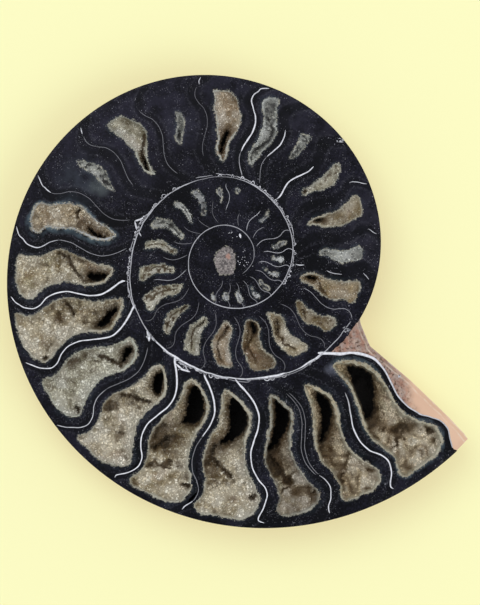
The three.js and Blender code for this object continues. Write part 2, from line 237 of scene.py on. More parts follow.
@dataclass(frozen=True)
class Coil:
    """The walls of the coiled shell, as they show on the sawn face."""

    reference_turn: float = 720.0
    reference_radius: float = 42.42
    growth_per_quarter: float = 1.209
    early_slowing: float = 4.5e-7
    rim_share: float = 0.997
    oval: float = 0.0054
    centre: tuple[float, float] = (-2.49, 11.91)
    sway: Pairs = (
        (-0.08, -4.5), (-0.02, -2.5), (0.04, 0.6), (0.1, 2.9), (0.16, 4.3), (0.22, 4.9), (0.3, 4.2),
        (0.4, 2.2), (0.5, 0.4), (0.58, 0), (0.66, 0.6), (0.73, 2.3), (0.79, 3.0), (0.85, 2.5),
        (0.92, 0.3), (0.97, -1.6), (1.0, -2.8), (1.1, -7),
    )

    def wall(self, turn: Array | float) -> Array:
        """Radius of a whorl's outer wall."""
        turn = np.asarray(turn, float)
        before = np.clip(self.reference_turn - turn, 0, None)
        quarters = (turn - self.reference_turn) / 90
        growth = math.log(self.growth_per_quarter) * quarters
        return self.reference_radius * np.exp(growth - self.early_slowing * before**2)

    def rim(self, turn: Array | float) -> Array:
        """Radius of the outline, which is a little oval."""
        return self.wall(turn) * (self.rim_share - self.oval * np.sin(np.radians(2 * np.asarray(turn))))

    def place(self, turn: Array | float, share: Array | float) -> Array:
        """Places on the face from turn angles and shares across the whorl."""
        inner = self.wall(np.asarray(turn) - 360)
        radius = inner + share * (self.wall(turn) - inner)
        angle = np.radians(turn)
        return np.column_stack((np.ravel(radius * np.cos(angle)), np.ravel(radius * np.sin(angle))))

    def swayed(self, turn: Array | float, share: Array | float) -> Array:
        """Places on the face from turn angles before the sway of the septa, and shares."""
        return self.place(np.asarray(turn) + follow(self.sway, share), share)

    def of_place(self, x: Array, y: Array) -> tuple[Array, Array]:
        """Turn angle and share of places on the face."""
        radius, angle = np.hypot(x, y), np.degrees(np.arctan2(y, x))
        turn = angle + 1080
        for _ in range(5):
            turn = np.where(self.wall(turn - 360) > radius, turn - 360, turn)
        inner = self.wall(turn - 360)
        return turn, (radius - inner) / (self.wall(turn) - inner)


@dataclass(frozen=True)
class NaturalBack:
    """The convex outside of the shell, where each whorl covers part of the one before."""

    coil: Coil
    thickness: float = 15.5
    half_width: float = 16.0
    width_growth_radius: float = 24.0
    flank: Pairs = (
        (0.0, -1), (0.19, 0.2), (0.24, 0.5), (0.29, 0.84), (0.345, 0.985), (0.39, 1), (0.46, 0.975),
        (0.58, 0.89), (0.7, 0.77), (0.8, 0.63), (0.88, 0.48), (0.94, 0.33), (0.975, 0.2), (1.0, 0.045),
    )
    whorls_seen: int = 4
    whorl_reach: float = 1.02
    core_depth: float = 2.2
    broken_end: Pairs = (
        (36.9, -18.2), (39.5, -24.4), (50.7, -33.9), (61.5, -43.1), (67.2, -50.3),
    )
    broken_end_inner_angle: float = -25.0
    ribs_per_turn: float = 58.0
    rib_sweep: float = 20.4
    rib_bend: float = 0.32
    rib_lean: float = 30.0
    rib_height: float = 0.34
    ribs_rise: tuple[float, float] = (0.36, 0.62)
    ribs_fade: tuple[float, float] = (0.94, 0.99)

    def broken_end_angle(self, radius: Array) -> Array:
        """Angle of the broken end at each distance from the axis."""
        points = [(math.hypot(x, y), math.degrees(math.atan2(y, x))) for x, y in self.broken_end]
        return np.where(radius < points[0][0], self.broken_end_inner_angle, follow(points, radius))

    def depth(self, x: Array, y: Array, ribbed: bool = False) -> Array:
        """How far the outside lies below the face.

        Args:
            x: Places along X.
            y: Places along Y.
            ribbed: Whether the faint ribs of the flanks are taken off.

        Returns:
            The depth at each place.
        """
        radius, angle = np.hypot(x, y), np.degrees(np.arctan2(y, x))
        start = self.broken_end_angle(radius)
        youngest = start + 720 + np.mod(angle - start, 360)
        depth = np.full(radius.shape, self.core_depth)
        for whorl in range(self.whorls_seen):
            turn = youngest - 360 * whorl
            outer = self.coil.wall(turn)
            out = radius / outer
            widest = self.half_width * (1 - np.exp(-((outer / self.width_growth_radius) ** 2)))
            form = widest * follow(self.flank, out)
            if ribbed:
                form = form - self.rib(turn, out) * outer / self.coil.reference_radius
            depth = np.where(out <= self.whorl_reach, np.maximum(depth, form), depth)
        return np.minimum(depth, self.thickness)

    def rib(self, turn: Array, out: Array) -> Array:
        """Depth of the grooves between the sickle-shaped ribs at a share of the outer radius."""
        sickle = self.rib_sweep * np.sin(math.tau * (out - self.rib_bend)) + self.rib_lean * (out - 0.3) ** 2
        wave = 0.5 - 0.5 * np.cos(np.radians((turn + sickle) * self.ribs_per_turn))
        return self.rib_height * wave * plateau(out, self.ribs_rise, self.ribs_fade)


# Work on the bench


class Workpiece:
    """One mesh on the bench, shaped step by step."""

    def __init__(self, body: Body) -> None:
        """Takes an object that already lies at the origin."""
        self.body = body

    @classmethod
    def newest(cls, name: str) -> "Workpiece":
        """Takes the primitive that was just added, under a new name."""
        body = bpy.context.active_object
        body.name = body.data.name = name
        return cls(body)

    @classmethod
    def grid(cls, name: str, columns: int, rows: int) -> "Workpiece":
        """Adds a flat grid of faces, two units wide."""
        bpy.ops.object.select_all(action="DESELECT")
        bpy.ops.mesh.primitive_grid_add(x_subdivisions=columns, y_subdivisions=rows, size=2)
        return cls.newest(name)

    @classmethod
    def rolled(cls, name: str, rings: Sequence[Array]) -> "Workpiece":
        """Rolls a grid into a closed form through rings of equal count.

        Args:
            name: The piece's name.
            rings: Places of each ring, in metres. The first and last may be one place repeated.

        Returns:
            The closed piece.
        """
        count = len(rings[0])
        piece = cls.grid(name, count, len(rings) - 1)
        column, row = piece.steps(count, len(rings) - 1)
        piece.move_to(np.stack(rings)[row, column % count])
        piece.weld(1e-7)
        return piece

    @classmethod
    def joined(cls, name: str, parts: Sequence["Workpiece"]) -> "Workpiece":
        """Joins parts into the first one."""
        bpy.ops.object.select_all(action="DESELECT")
        for part in parts:
            part.body.select_set(True)
        bpy.context.view_layer.objects.active = parts[0].body
        if len(parts) > 1:
            bpy.ops.object.join()
        return cls.newest(name)

    @classmethod
    def of_faces(cls, name: str, points: Array, faces: list[tuple[int, ...]]) -> "Workpiece":
        """Makes a piece of many repeated small shapes from their corners and faces."""
        mesh = bpy.data.meshes.new(name)
        mesh.from_pydata(points.tolist(), [], faces)
        body = bpy.data.objects.new(name, mesh)
        bpy.context.scene.collection.objects.link(body)
        return cls(body)

    def hold(self) -> None:
        """Selects this piece alone."""
        bpy.ops.object.select_all(action="DESELECT")
        self.body.select_set(True)
        bpy.context.view_layer.objects.active = self.body

    @contextmanager
    def edited(self) -> Iterator[None]:
        """Opens edit mode with all of the piece selected."""
        self.hold()
        bpy.ops.object.mode_set(mode="EDIT")
        bpy.ops.mesh.select_all(action="SELECT")
        yield
        bpy.ops.object.mode_set(mode="OBJECT")

    def points(self) -> Array:
        """Places of the vertices, in metres."""
        flat = np.empty(len(self.body.data.vertices) * 3)
        self.body.data.vertices.foreach_get("co", flat)
        return flat.reshape(-1, 3)

    def move_to(self, points: Array) -> None:
        """Moves every vertex."""
        self.body.data.vertices.foreach_set("co", np.ascontiguousarray(points, float).ravel())
        self.body.data.update()

    def shares(self) -> tuple[Array, Array]:
        """Share along a new grid's columns and rows, from 0 to 1."""
        points = self.points()
        return (points[:, 0] + 1) / 2, (points[:, 1] + 1) / 2

    def steps(self, columns: int, rows: int) -> tuple[Array, Array]:
        """Column and row number of a new grid's vertices."""
        u, v = self.shares()
        return np.rint(u * columns).astype(int), np.rint(v * rows).astype(int)

    def weld(self, distance: float) -> None:
        """Merges doubled vertices and turns the faces outward."""
        with self.edited():
            bpy.ops.mesh.remove_doubles(threshold=distance)
            bpy.ops.mesh.normals_make_consistent(inside=False)

    def thicken(self, depth: float) -> None:
        """Turns an open sheet into a closed slab, drawn straight down.

        Args:
            depth: How far, in metres.
        """
        with self.edited():
            way = {"value": (0, 0, -depth)}
            bpy.ops.mesh.extrude_region_move(TRANSFORM_OT_translate=way)
            bpy.ops.mesh.select_all(action="SELECT")
            bpy.ops.mesh.normals_make_consistent(inside=False)
            self.turn_outward()

    def turn_outward(self) -> None:
        """Turns round each closed part, open in edit mode, whose faces point inward."""
        bpy.ops.mesh.select_mode(type="FACE")
        bpy.ops.mesh.select_all(action="DESELECT")
        mesh = bmesh.from_edit_mesh(self.body.data)
        waiting = set(mesh.faces)
        while waiting:
            part, edge_of = [], [waiting.pop()]
            volume = 0.0
            while edge_of:
                face = edge_of.pop()
                part.append(face)
                volume += face.calc_center_median().dot(face.normal) * face.calc_area()
                for edge in face.edges:
                    for other in edge.link_faces:
                        if other in waiting:
                            waiting.remove(other)
                            edge_of.append(other)
            if volume < 0:
                for face in part:
                    face.select_set(True)
        bmesh.update_edit_mesh(self.body.data)
        bpy.ops.mesh.flip_normals()
        bpy.ops.mesh.select_mode(type="VERT")

    def cut_away(self, chosen: Array) -> None:
        """Deletes the chosen vertices."""
        with self.edited():
            bpy.ops.mesh.select_all(action="DESELECT")
            mesh = bmesh.from_edit_mesh(self.body.data)
            for vertex, gone in zip(mesh.verts, chosen):
                vertex.select_set(bool(gone))
            bmesh.update_edit_mesh(self.body.data)
            bpy.ops.mesh.delete(type="VERT")

    def draw_down(self) -> Array:
        """Extrudes the whole sheet downward into a closed slab.

        Returns:
            Which vertices are the lower ones.
        """
        top = self.points()[:, 2].min()
        self.thicken(1.0)
        return self.points()[:, 2] < top - 0.5

    def unfold(self, distance: float) -> None:
        """Merges doubled vertices of an open sheet and takes out what lies folded over.

        Args:
            distance: How near vertices are merged, in metres.
        """
        with self.edited():
            bpy.ops.mesh.remove_doubles(threshold=distance)
            bpy.ops.mesh.select_mode(type="FACE")
            bpy.ops.mesh.select_all(action="DESELECT")
            mesh = bmesh.from_edit_mesh(self.body.data)
            way = math.copysign(1, sum(face.normal.z for face in mesh.faces))
            for face in mesh.faces:
                face.select_set(face.normal.z * way <= 0)
            bmesh.update_edit_mesh(self.body.data)
            bpy.ops.mesh.delete(type="FACE")
            bpy.ops.mesh.select_mode(type="VERT")

    def modify(self, kind: str, **settings: object) -> None:
        """Adds a modifier and applies it."""
        self.hold()
        modifier = self.body.modifiers.new(kind.title(), kind)
        for name, value in settings.items():
            setattr(modifier, name, value)
        bpy.ops.object.modifier_apply(modifier=modifier.name)

    def mark(self, name: str, values: Array, domain: str = "POINT") -> None:
        """Stores one value for each vertex, or for each face, for the finish to read."""
        store = self.body.data.attributes
        layer = store.get(name) or store.new(name, "FLOAT", domain)
        layer.data.foreach_set("value", np.ascontiguousarray(values, np.float32))

    def lay_out(self, u: Array, v: Array) -> None:
        """Sets the UV map from one value pair for each vertex."""
        mesh = self.body.data
        layer = mesh.uv_layers.active or mesh.uv_layers.new(name="UVMap")
        corner = np.empty(len(mesh.loops), np.int32)
        mesh.loops.foreach_get("vertex_index", corner)
        layer.data.foreach_set("uv", np.column_stack((u[corner], v[corner])).astype(np.float32).ravel())

    def smooth(self, degrees: float) -> None:
        """Shades smoothly across edges flatter than an angle."""
        self.hold()
        bpy.ops.object.shade_smooth_by_angle(angle=math.radians(degrees))

    def dress(self, finish: Material, slot: str, nodes: Sequence[str] = ()) -> None:
        """Gives the piece its finish and sets it on the body.

        Args:
            finish: The material.
            slot: The record's slot that the finish comes from. It is not used.
            nodes: The plain solids that the piece stands for.
        """
        self.body.data.materials.clear()
        self.body.data.materials.append(finish)
        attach(self.body, "root")
        if nodes:
            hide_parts(*nodes)
        LOG.info("%s: %d vertices", self.body.name, len(self.body.data.vertices))


# Places in the frame

coil = Coil()
back = NaturalBack(coil)
stone_low, stone_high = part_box("shell_stone")
FACE_TOP = stone_high[2]


def in_frame(places: Array, depth: Array | float) -> Array:
    """Points in metres from places on the face and depths below its top."""
    x = (places[:, 0] + coil.centre[0]) * MM
    y = (places[:, 1] + coil.centre[1]) * MM
    z = FACE_TOP - np.broadcast_to(depth, x.shape) * MM
    return np.column_stack((x, y, z))


def on_face(points: Array) -> Array:
    """Places on the face that lie straight above points in metres."""
    return points[:, :2] / MM - coil.centre


def kept_in_box(points: Array) -> Array:
    """Holds points inside the plain model's box."""
    return np.clip(points, np.array(cad_box[0]), np.array(cad_box[1]))


# Depths of flush surfaces. Each lies a hair above the one that it is let into.
STONE_FACE = 0.02
CRUST_RIM = 0.03
MARGIN_TOP = 0.017
GRAIN_TOP = 0.015
GRAIN_HALF_HEIGHT = 0.5
CORE_PATCH = 0.012
LINE_TOP = 0.006
WALL_TOP = 0.002


# Finishes


class Bench:
    """A node tree being filled in."""

    def __init__(self, tree: bpy.types.NodeTree) -> None:
        """Starts on a tree, emptied of nodes."""
        self.tree = tree
        tree.nodes.clear()

    def add(self, kind: str, inputs: dict | None = None, **settings: object) -> bpy.types.Node:
        """Adds a node.

        Args:
            kind: The node's type, without its ShaderNode prefix.
            inputs: Socket names or numbers with a value, or with a socket to link from.
            settings: The node's own settings.

        Returns:
            The node.
        """
        node = self.tree.nodes.new(f"ShaderNode{kind}")
        for name, value in settings.items():
            setattr(node, name, value)
        self.fill(node, inputs or {})
        return node

    def fill(self, node: bpy.types.Node, inputs: dict) -> None:
        """Sets a node's inputs by name or number, each to a value or to a socket to link from."""
        for key, value in inputs.items():
            if isinstance(value, Socket):
                self.tree.links.new(value, node.inputs[key])
            else:
                node.inputs[key].default_value = value

    def math(self, operation: str, *values: object) -> Socket:
        """Adds a Math node and gives its result."""
        node = self.add("Math", dict(enumerate(values)), operation=operation)
        return node.outputs[0]

    def times(self, first: object, second: object) -> Socket:
        """Multiplies two values."""
        return self.math("MULTIPLY", first, second)

    def mix(self, share: object, first: object, second: object) -> Socket:
        """Mixes two colours."""
        node = self.add("Mix", {0: share, 6: first, 7: second}, data_type="RGBA")
        return node.outputs[2]

    def window(self, value: object, low: float, high: float) -> Socket:
        """Rises smoothly from 0 at low to 1 at high."""
        inputs = {"Value": value, "From Min": low, "From Max": high}
        return self.add("MapRange", inputs, interpolation_type="SMOOTHSTEP").outputs[0]

    def noise(self, place: object, scale: float, detail: float = 3.0) -> Socket:
        """Adds a noise pattern, with lumps about one over scale metres wide."""
        return self.add("TexNoise", {"Vector": place, "Scale": scale, "Detail": detail}).outputs[0]

    def shifted(self, place: object, by: float) -> Socket:
        """Moves a place, so that two patterns of one kind don't match."""
        return self.add("VectorMath", {0: place, 1: (by, -by, 0)}, operation="ADD").outputs[0]

    def place(self) -> Socket:
        """The place on the piece, in metres."""
        return self.add("TexCoord").outputs["Object"]

    def marked(self, name: str) -> Socket:
        """A value stored on the piece's vertices."""
        return self.add("Attribute", attribute_name=name).outputs["Fac"]


@dataclass(frozen=True)
class Pattern:
    """Uneven patches, as a mask from 0 to 1.

    The noise has lumps of about one over per_metre, and the patches set in between two of its
    values. Shift moves the pattern, so that two of one kind don't match.
    """

    per_metre: float
    detail: float
    low: float
    high: float
    shift: float = 0.0

    def mask(self, bench: Bench, place: Socket) -> Socket:
        """How far each place lies inside the patches."""
        at = bench.shifted(place, self.shift) if self.shift else place
        return bench.window(bench.noise(at, self.per_metre, self.detail), self.low, self.high)


def dust_group() -> Tree:
    """Small pale specks scattered over a sawn face, as one mask shared by the finishes."""
    tree = bpy.data.node_groups.new("dust", "ShaderNodeTree")
    tree.interface.new_socket("Place", in_out="INPUT", socket_type="NodeSocketVector")
    for name, usual in (("Specks per metre", 3000.0), ("Size", 0.24), ("Share", 0.5)):
        socket = tree.interface.new_socket(name, in_out="INPUT", socket_type="NodeSocketFloat")
        socket.default_value = usual
    tree.interface.new_socket("Mask", in_out="OUTPUT", socket_type="NodeSocketFloat")
    bench = Bench(tree)
    given = tree.nodes.new("NodeGroupInput").outputs
    result = tree.nodes.new("NodeGroupOutput")
    spacing = given["Specks per metre"]
    cells = bench.add("TexVoronoi", {"Vector": given["Place"], "Scale": spacing})
    near = bench.math("LESS_THAN", cells.outputs["Distance"], given["Size"])
    drawn = bench.add("SeparateColor", {0: cells.outputs["Color"]}).outputs
    patches = Pattern(210, 5, 0.36, 0.72).mask(bench, given["Place"])
    picked = bench.math("LESS_THAN", drawn[0], bench.times(patches, given["Share"]))
    lit = bench.times(bench.times(near, picked), drawn[1])
    tree.links.new(lit, result.inputs["Mask"])
    return tree


def septum_group(turns: Sequence[float]) -> Tree:
    """How far a place on the sawn face lies from the nearest septum of the last whorl.

    Args:
        turns: Turn angles of the septa, before their sway.

    Returns:
        A group that reads the stone's UV map and the place, and gives millimetres.
    """
    tree = bpy.data.node_groups.new("from_septum", "ShaderNodeTree")
    for name in ("Turn and share", "Place"):
        tree.interface.new_socket(name, in_out="INPUT", socket_type="NodeSocketVector")
    tree.interface.new_socket("Distance", in_out="OUTPUT", socket_type="NodeSocketFloat")
    bench = Bench(tree)
    given = tree.nodes.new("NodeGroupInput").outputs
    result = tree.nodes.new("NodeGroupOutput")
    turn = bench.add("SeparateXYZ", {0: given["Turn and share"]}).outputs[0]
    nearest = None
    for septum in turns:
        away = bench.math("ABSOLUTE", bench.math("SUBTRACT", turn, septum))
        nearest = bench.math("MINIMUM", nearest, away) if nearest else away
    from_axis = bench.add("VectorMath", {0: given["Place"], 1: (*(c * MM for c in coil.centre), 0)},
                          operation="SUBTRACT").outputs[0]
    flat = bench.add("VectorMath", {0: from_axis, 1: (1, 1, 0)}, operation="MULTIPLY").outputs[0]
    radius = bench.add("VectorMath", {0: flat}, operation="LENGTH").outputs["Value"]
    arc = bench.times(bench.math("RADIANS", nearest), radius)
    tree.links.new(bench.math("DIVIDE", arc, MM), result.inputs["Distance"])
    return tree


@dataclass(frozen=True)
class Finish:
    """What every finish shares: one surface shader with plain gloss."""

    name: str
    roughness: float = 0.5
    specular: float = 0.5

    def make(self) -> Material:
        """Builds the material."""
        material = bpy.data.materials.new(self.name)
        material.use_nodes = True
        bench = Bench(material.node_tree)
        surface = bench.add("BsdfPrincipled", {"Roughness": self.roughness,
                                               "Specular IOR Level": self.specular})
        bench.add("OutputMaterial", {"Surface": surface.outputs[0]})
        bench.fill(surface, self.surface(bench, bench.place()))
        return material

    def surface(self, bench: Bench, place: Socket) -> dict[str, object]:
        """What the surface shader reads at each place, by the name of its input."""
        raise NotImplementedError


@dataclass(frozen=True)
class Mottle:
    """Uneven patches of one colour, and how strongly they show."""

    colour: Colour
    pattern: Pattern
    strength: float = 1.0

    def over(self, bench: Bench, place: Socket, base: object, within: object = None) -> Socket:
        """Lays the patches over a colour.

        Args:
            bench: The material's bench.
            place: Where on the piece.
            base: The colour below.
            within: How much of the patches shows, from 0 to 1, where that isn't all of them.

        Returns:
            The new colour.
        """
        share = self.pattern.mask(bench, place)
        for factor in (self.strength if self.strength < 1 else None, within):
            share = share if factor is None else bench.times(share, factor)
        return bench.mix(share, base, self.colour)


@dataclass(frozen=True)
class Haze:
    """A pale cloud in the stone: its place on the face, its reach, strength and colour."""

    place: tuple[float, float]
    reach: float
    strength: float
    colour: Colour

    def over(self, bench: Bench, place: Socket, torn: Socket, base: object) -> Socket:
        """Lays the cloud over a colour, where the torn pattern lets it show."""
        centre = (*((c + o) * MM for c, o in zip(self.place, coil.centre)), FACE_TOP)
        away = bench.add("VectorMath", {0: place, 1: centre}, operation="DISTANCE").outputs["Value"]
        near = bench.window(away, self.reach * MM, 0.2 * self.reach * MM)
        return bench.mix(bench.times(bench.times(near, self.strength), torn), base, self.colour)


@dataclass(frozen=True)
class StoneFinish(Finish):
    """Polished near-black stone on the sawn face, matt brown shell on the outside."""

    name: str = "stone"
    roughness: float = 0.3
    specular: float = 0.07
    dark: Colour = srgb(6, 6, 11)
    pale: Colour = srgb(30, 29, 41)
    speck: Colour = srgb(168, 167, 178)
    beside_septum: Colour = srgb(9, 10, 13)
    fringe: Colour = srgb(58, 58, 64)
    veil: Colour = srgb(88, 104, 114)
    crumb: Colour = srgb(108, 106, 100)
    seam: Colour = srgb(160, 156, 143)
    # Painted black shade on the stone deep inside the hollows.
    hollow: Colour = srgb(5, 4, 4)
    band_ends: tuple[float, float] = (1.7, 0.7)
    band_strength: float = 0.6
    fringe_strength: float = 0.45
    veil_strength: float = 0.85
    clouds_show: tuple[float, float] = (0.4, 0.66)
    fringe_rises: tuple[float, float] = (1.2, 1.6)
    fringe_falls: tuple[float, float] = (2.5, 1.7)
    fringe_grains: tuple[float, float] = (0.42, 0.62)
    torn: Pattern = Pattern(330, 6, 0.25, 0.7)
    veil_clouds: Pattern = Pattern(420, 6, 0.34, 0.66)
    seam_breaks: Pattern = Pattern(700, 4, 0.3, 0.55, shift=4)
    seam_shows: tuple[float, float] = (0.3, 0.95)
    # The broad hazes make the face lighter towards the top and the sides.
    hazes: tuple[Haze, ...] = (
        Haze((-41.0, 22.0), 10.0, 0.6, srgb(56, 62, 70)), Haze((-36.0, 20.5), 4.5, 0.5, srgb(92, 100, 98)),
        Haze((-13.7, 37.0), 6.0, 0.5, srgb(56, 58, 68)), Haze((28.6, -31.0), 2.6, 0.9, srgb(96, 98, 112)),
        Haze((-8.0, 50.0), 32.0, 0.42, srgb(48, 46, 62)), Haze((-32.0, 34.0), 26.0, 0.4, srgb(50, 48, 64)),
        Haze((24.0, 44.0), 24.0, 0.5, srgb(50, 48, 61)), Haze((-44.0, 14.0), 6.0, 0.6, srgb(60, 74, 84)),
        Haze((43.0, 8.0), 20.0, 0.6, srgb(50, 48, 60)),
    )
    specks: tuple[tuple[float, float, float, float], ...] = (
        (3300.0, 0.3, 0.6, 0.3), (1700.0, 0.19, 0.42, 0.6), (900.0, 0.13, 0.26, 0.8),
    )
    shell_dark: Colour = srgb(50, 42, 36)
    shell_warm: Colour = srgb(112, 90, 69)
    shell_roughness: float = 0.62
    shell_clouds: tuple[float, float] = (0.34, 0.68)
    growth_lines_per_degree: float = 2.6
    growth_line_wobble: float = 6.0
    growth_line_colour: float = 0.03
    shell_pits: Pattern = Pattern(900, 4, 0.55, 0.75)
    shell_pit_strength: float = 0.5
    shell_relief: float = 0.15
    painted_shade_below: tuple[float, float] = (0.4, 1.4)
    dust: Tree | None = None
    septa: Tree | None = None

    def surface(self, bench: Bench, place: Socket) -> dict[str, object]:
        """The sawn face above and the weathered shell outside, with painted black shade inside the hollows.
        """
        face = self.face_colour(bench, place)
        height = bench.add("SeparateXYZ", {0: place}).outputs[2]
        # Painted black shade where the face lies deep inside a hollow.
        shallow, deep = (FACE_TOP - depth * MM for depth in self.painted_shade_below)
        face = bench.mix(bench.window(height, shallow, deep), face, self.hollow)
        shell, relief = self.shell_colour(bench, place)
        outside = bench.window(bench.marked("outside"), 0.05, 0.6)
        base = bench.mix(outside, face, shell)
        gloss = bench.math("MULTIPLY_ADD", outside, self.shell_roughness - self.roughness, self.roughness)
        relief = bench.times(relief, outside)
        bump = bench.add("Bump", {"Height": relief, "Strength": 0.35, "Distance": self.shell_relief * MM})
        return {"Base Color": base, "Roughness": gloss, "Normal": bump.outputs[0]}

    def shell_colour(self, bench: Bench, place: Socket) -> tuple[Socket, Socket]:
        """Colour and height of the weathered shell, with its growth lines and pits."""
        turn = bench.add("SeparateXYZ", {0: bench.add("UVMap").outputs[0]}).outputs[0]
        wobble = bench.times(bench.noise(place, 120, 4), self.growth_line_wobble)
        turn = bench.math("ADD", turn, wobble)
        lines = bench.math("SINE", bench.times(turn, self.growth_lines_per_degree))
        worn = bench.math("MULTIPLY_ADD", lines, self.growth_line_colour, bench.noise(place, 170, 6))
        shell = bench.mix(bench.window(worn, *self.shell_clouds), self.shell_dark, self.shell_warm)
        pitted = self.shell_pits.mask(bench, place)
        shell = bench.mix(bench.times(pitted, self.shell_pit_strength), shell, self.shell_dark)
        return shell, bench.math("ADD", lines, pitted)

    def face_colour(self, bench: Bench, place: Socket) -> Socket:
        """Colour of the sawn face: clouds, pale hazes, dark bands along the septa, and dust."""
        cloud = bench.noise(place, 110, 6)
        grain = bench.noise(place, 2300, 5)
        shade = bench.math("MULTIPLY_ADD", grain, 0.5, bench.times(cloud, 0.5))
        base = bench.mix(bench.window(shade, *self.clouds_show), self.dark, self.pale)
        torn = self.torn.mask(bench, place)
        for haze in self.hazes:
            base = haze.over(bench, place, torn, base)
        from_septum = bench.add("Group", node_tree=self.septa)
        bench.fill(from_septum, {0: bench.add("UVMap").outputs[0], 1: place})
        distance = from_septum.outputs[0]
        uneven = bench.math("ADD", bench.noise(place, 500, 3), bench.math("SUBTRACT", distance, 0.5))
        band = bench.times(bench.window(uneven, *self.band_ends), self.band_strength)
        base = bench.mix(band, base, self.beside_septum)
        rise, fall = (bench.window(uneven, *ends) for ends in (self.fringe_rises, self.fringe_falls))
        fringe = bench.times(bench.times(rise, fall), bench.window(grain, *self.fringe_grains))
        base = bench.mix(bench.times(fringe, self.fringe_strength), base, self.fringe)
        base = self.margin_colour(bench, place, base)
        for spacing, size, share, strength in self.specks:
            specks = bench.add("Group", node_tree=self.dust)
            bench.fill(specks, {"Place": place, "Specks per metre": spacing, "Size": size, "Share": share})
            base = bench.mix(bench.times(specks.outputs[0], strength), base, self.speck)
        return base

    def margin_colour(self, bench: Bench, place: Socket, base: Socket) -> Socket:
        """Adds the milky veil round the crusts, and their pale, crumbly edge."""
        veiled = bench.times(bench.marked("milky"), self.veil_clouds.mask(bench, place))
        veiled = bench.times(veiled, self.veil_strength)
        base = bench.mix(veiled, base, self.veil)
        crumbs = bench.noise(bench.shifted(place, 3), 2300, 5)
        coarse = bench.noise(bench.shifted(place, 6), 620, 3)
        uneven = bench.math("MULTIPLY_ADD", crumbs, 1.9, bench.times(coarse, 1.5))
        edge = bench.math("ADD", bench.math("SUBTRACT", uneven, 1.7), bench.marked("seam"))
        edge = bench.times(edge, bench.window(bench.marked("seam"), 0.0, 0.12))
        pale = bench.mix(self.seam_breaks.mask(bench, place), self.crumb, self.seam)
        return bench.mix(bench.window(edge, *self.seam_shows), base, pale)


@dataclass(frozen=True)
class DruseFinish(Finish):
    """Sugary crystals, pale where the saw met the crust, with painted highlights and glints, and painted
    shade that is black in the pits.
    """

    name: str = "druse"
    roughness: float = 0.34
    specular: float = 0.3
    light: Colour = srgb(218, 208, 182)
    warm: Colour = srgb(170, 156, 126)
    rim: Colour = srgb(164, 160, 148)
    # Painted shade on the crust between the crystals and on some faces; dull crystals lean towards it too.
    crystal_shade: Colour = srgb(74, 62, 44)
    # Painted highlight colour, laid on the tops of hummocks and lumps and towards the high-turn edge.
    glow: Colour = srgb(226, 224, 210)
    # Painted brown shade in the hollows, furrows and clefts and beside the pits, also the dark mottling of
    # the small crusts.
    brown: Colour = srgb(70, 51, 29)
    blush: Mottle = Mottle(srgb(176, 138, 122), Pattern(170, 3, 0.56, 0.72, shift=170), 0.4)
    olive: Mottle = Mottle(srgb(152, 148, 102), Pattern(210, 3, 0.54, 0.7, shift=210), 0.4)
    # Painted black shade deep in the pits.
    pit: Colour = srgb(8, 6, 5)
    # Painted glints on the brightest crystals and faces.
    spark: Colour = srgb(252, 249, 238)
    tinted: float = 1.0
    highlight_strength: float = 0.8
    brown_strength: float = 0.86
    rim_strength: float = 0.85

    def surface(self, bench: Bench, place: Socket) -> dict[str, object]:
        """Tints of the crust, its painted highlight and its crystals, then the painted brown and black shade
        of its depths, then the rim.
        """
        shade = bench.marked("shade")
        base = Mottle(self.warm, Pattern(230, 4, 0.36, 0.64)).over(bench, place, self.light)
        for tint in (self.blush, self.olive):
            base = tint.over(bench, place, base, self.tinted)
        # Painted highlight.
        base = bench.mix(bench.times(bench.marked("glow"), self.highlight_strength), base, self.glow)
        base = self.crystal_colour(bench, base)
        # Painted brown shade, then painted black shade in the pits.
        brown = bench.times(bench.window(shade, 0.0, 0.66), self.brown_strength)
        base = bench.mix(brown, base, self.brown)
        base = bench.mix(bench.window(shade, 0.62, 1.0), base, self.pit)
        sawn = Mottle(self.rim, Pattern(1500, 4, 0.3, 0.6)).over(bench, place, base)
        base = bench.mix(bench.times(bench.marked("rim"), self.rim_strength), base, sawn)
        dulled = bench.math("MULTIPLY_ADD", bench.window(shade, 0.3, 0.9), 1 - self.roughness, self.roughness)
        return {"Base Color": base, "Roughness": dulled}

    def crystal_colour(self, bench: Bench, base: Socket) -> Socket:
        """Sets the crystals off: painted shade on dull crystals, on some faces and on the crust between them,
        and painted glints on flashing ones.
        """
        spark, facet = bench.marked("spark"), bench.marked("facet")
        # Painted shade between and on the dull crystals, then on some faces, then painted glints.
        dull = bench.times(bench.window(spark, 0.72, 0.0), 0.56)
        base = bench.mix(dull, base, self.crystal_shade)
        turned = bench.times(bench.window(facet, 0.5, 0.02), bench.window(spark, 0.02, 0.12))
        base = bench.mix(bench.times(turned, 0.4), base, self.crystal_shade)
        for value, low, high, strength in ((spark, 0.74, 1.0, 0.6), (facet, 0.84, 0.99, 0.5)):
            painted_glint = bench.times(bench.window(value, low, high), strength)
            base = bench.mix(painted_glint, base, self.spark)
        return base


@dataclass(frozen=True)
class CalciteFinish(Finish):
    """White calcite of the septa and walls, greyer where a line is thin."""

    name: str = "calcite"
    roughness: float = 0.4
    specular: float = 0.3
    white: Colour = srgb(238, 237, 246)
    grey: Colour = srgb(44, 42, 52)
    breaks: Pattern = Pattern(1500, 3, 0.25, 0.6)
    weakest: float = 0.7

    def surface(self, bench: Bench, place: Socket) -> dict[str, object]:
        """White by the brightness stored on each line, a little broken."""
        broken = self.breaks.mask(bench, place)
        strength = bench.math("MULTIPLY_ADD", broken, 1 - self.weakest, self.weakest)
        bright = bench.times(bench.marked("bright"), strength)
        return {"Base Color": bench.mix(bright, self.grey, self.white)}


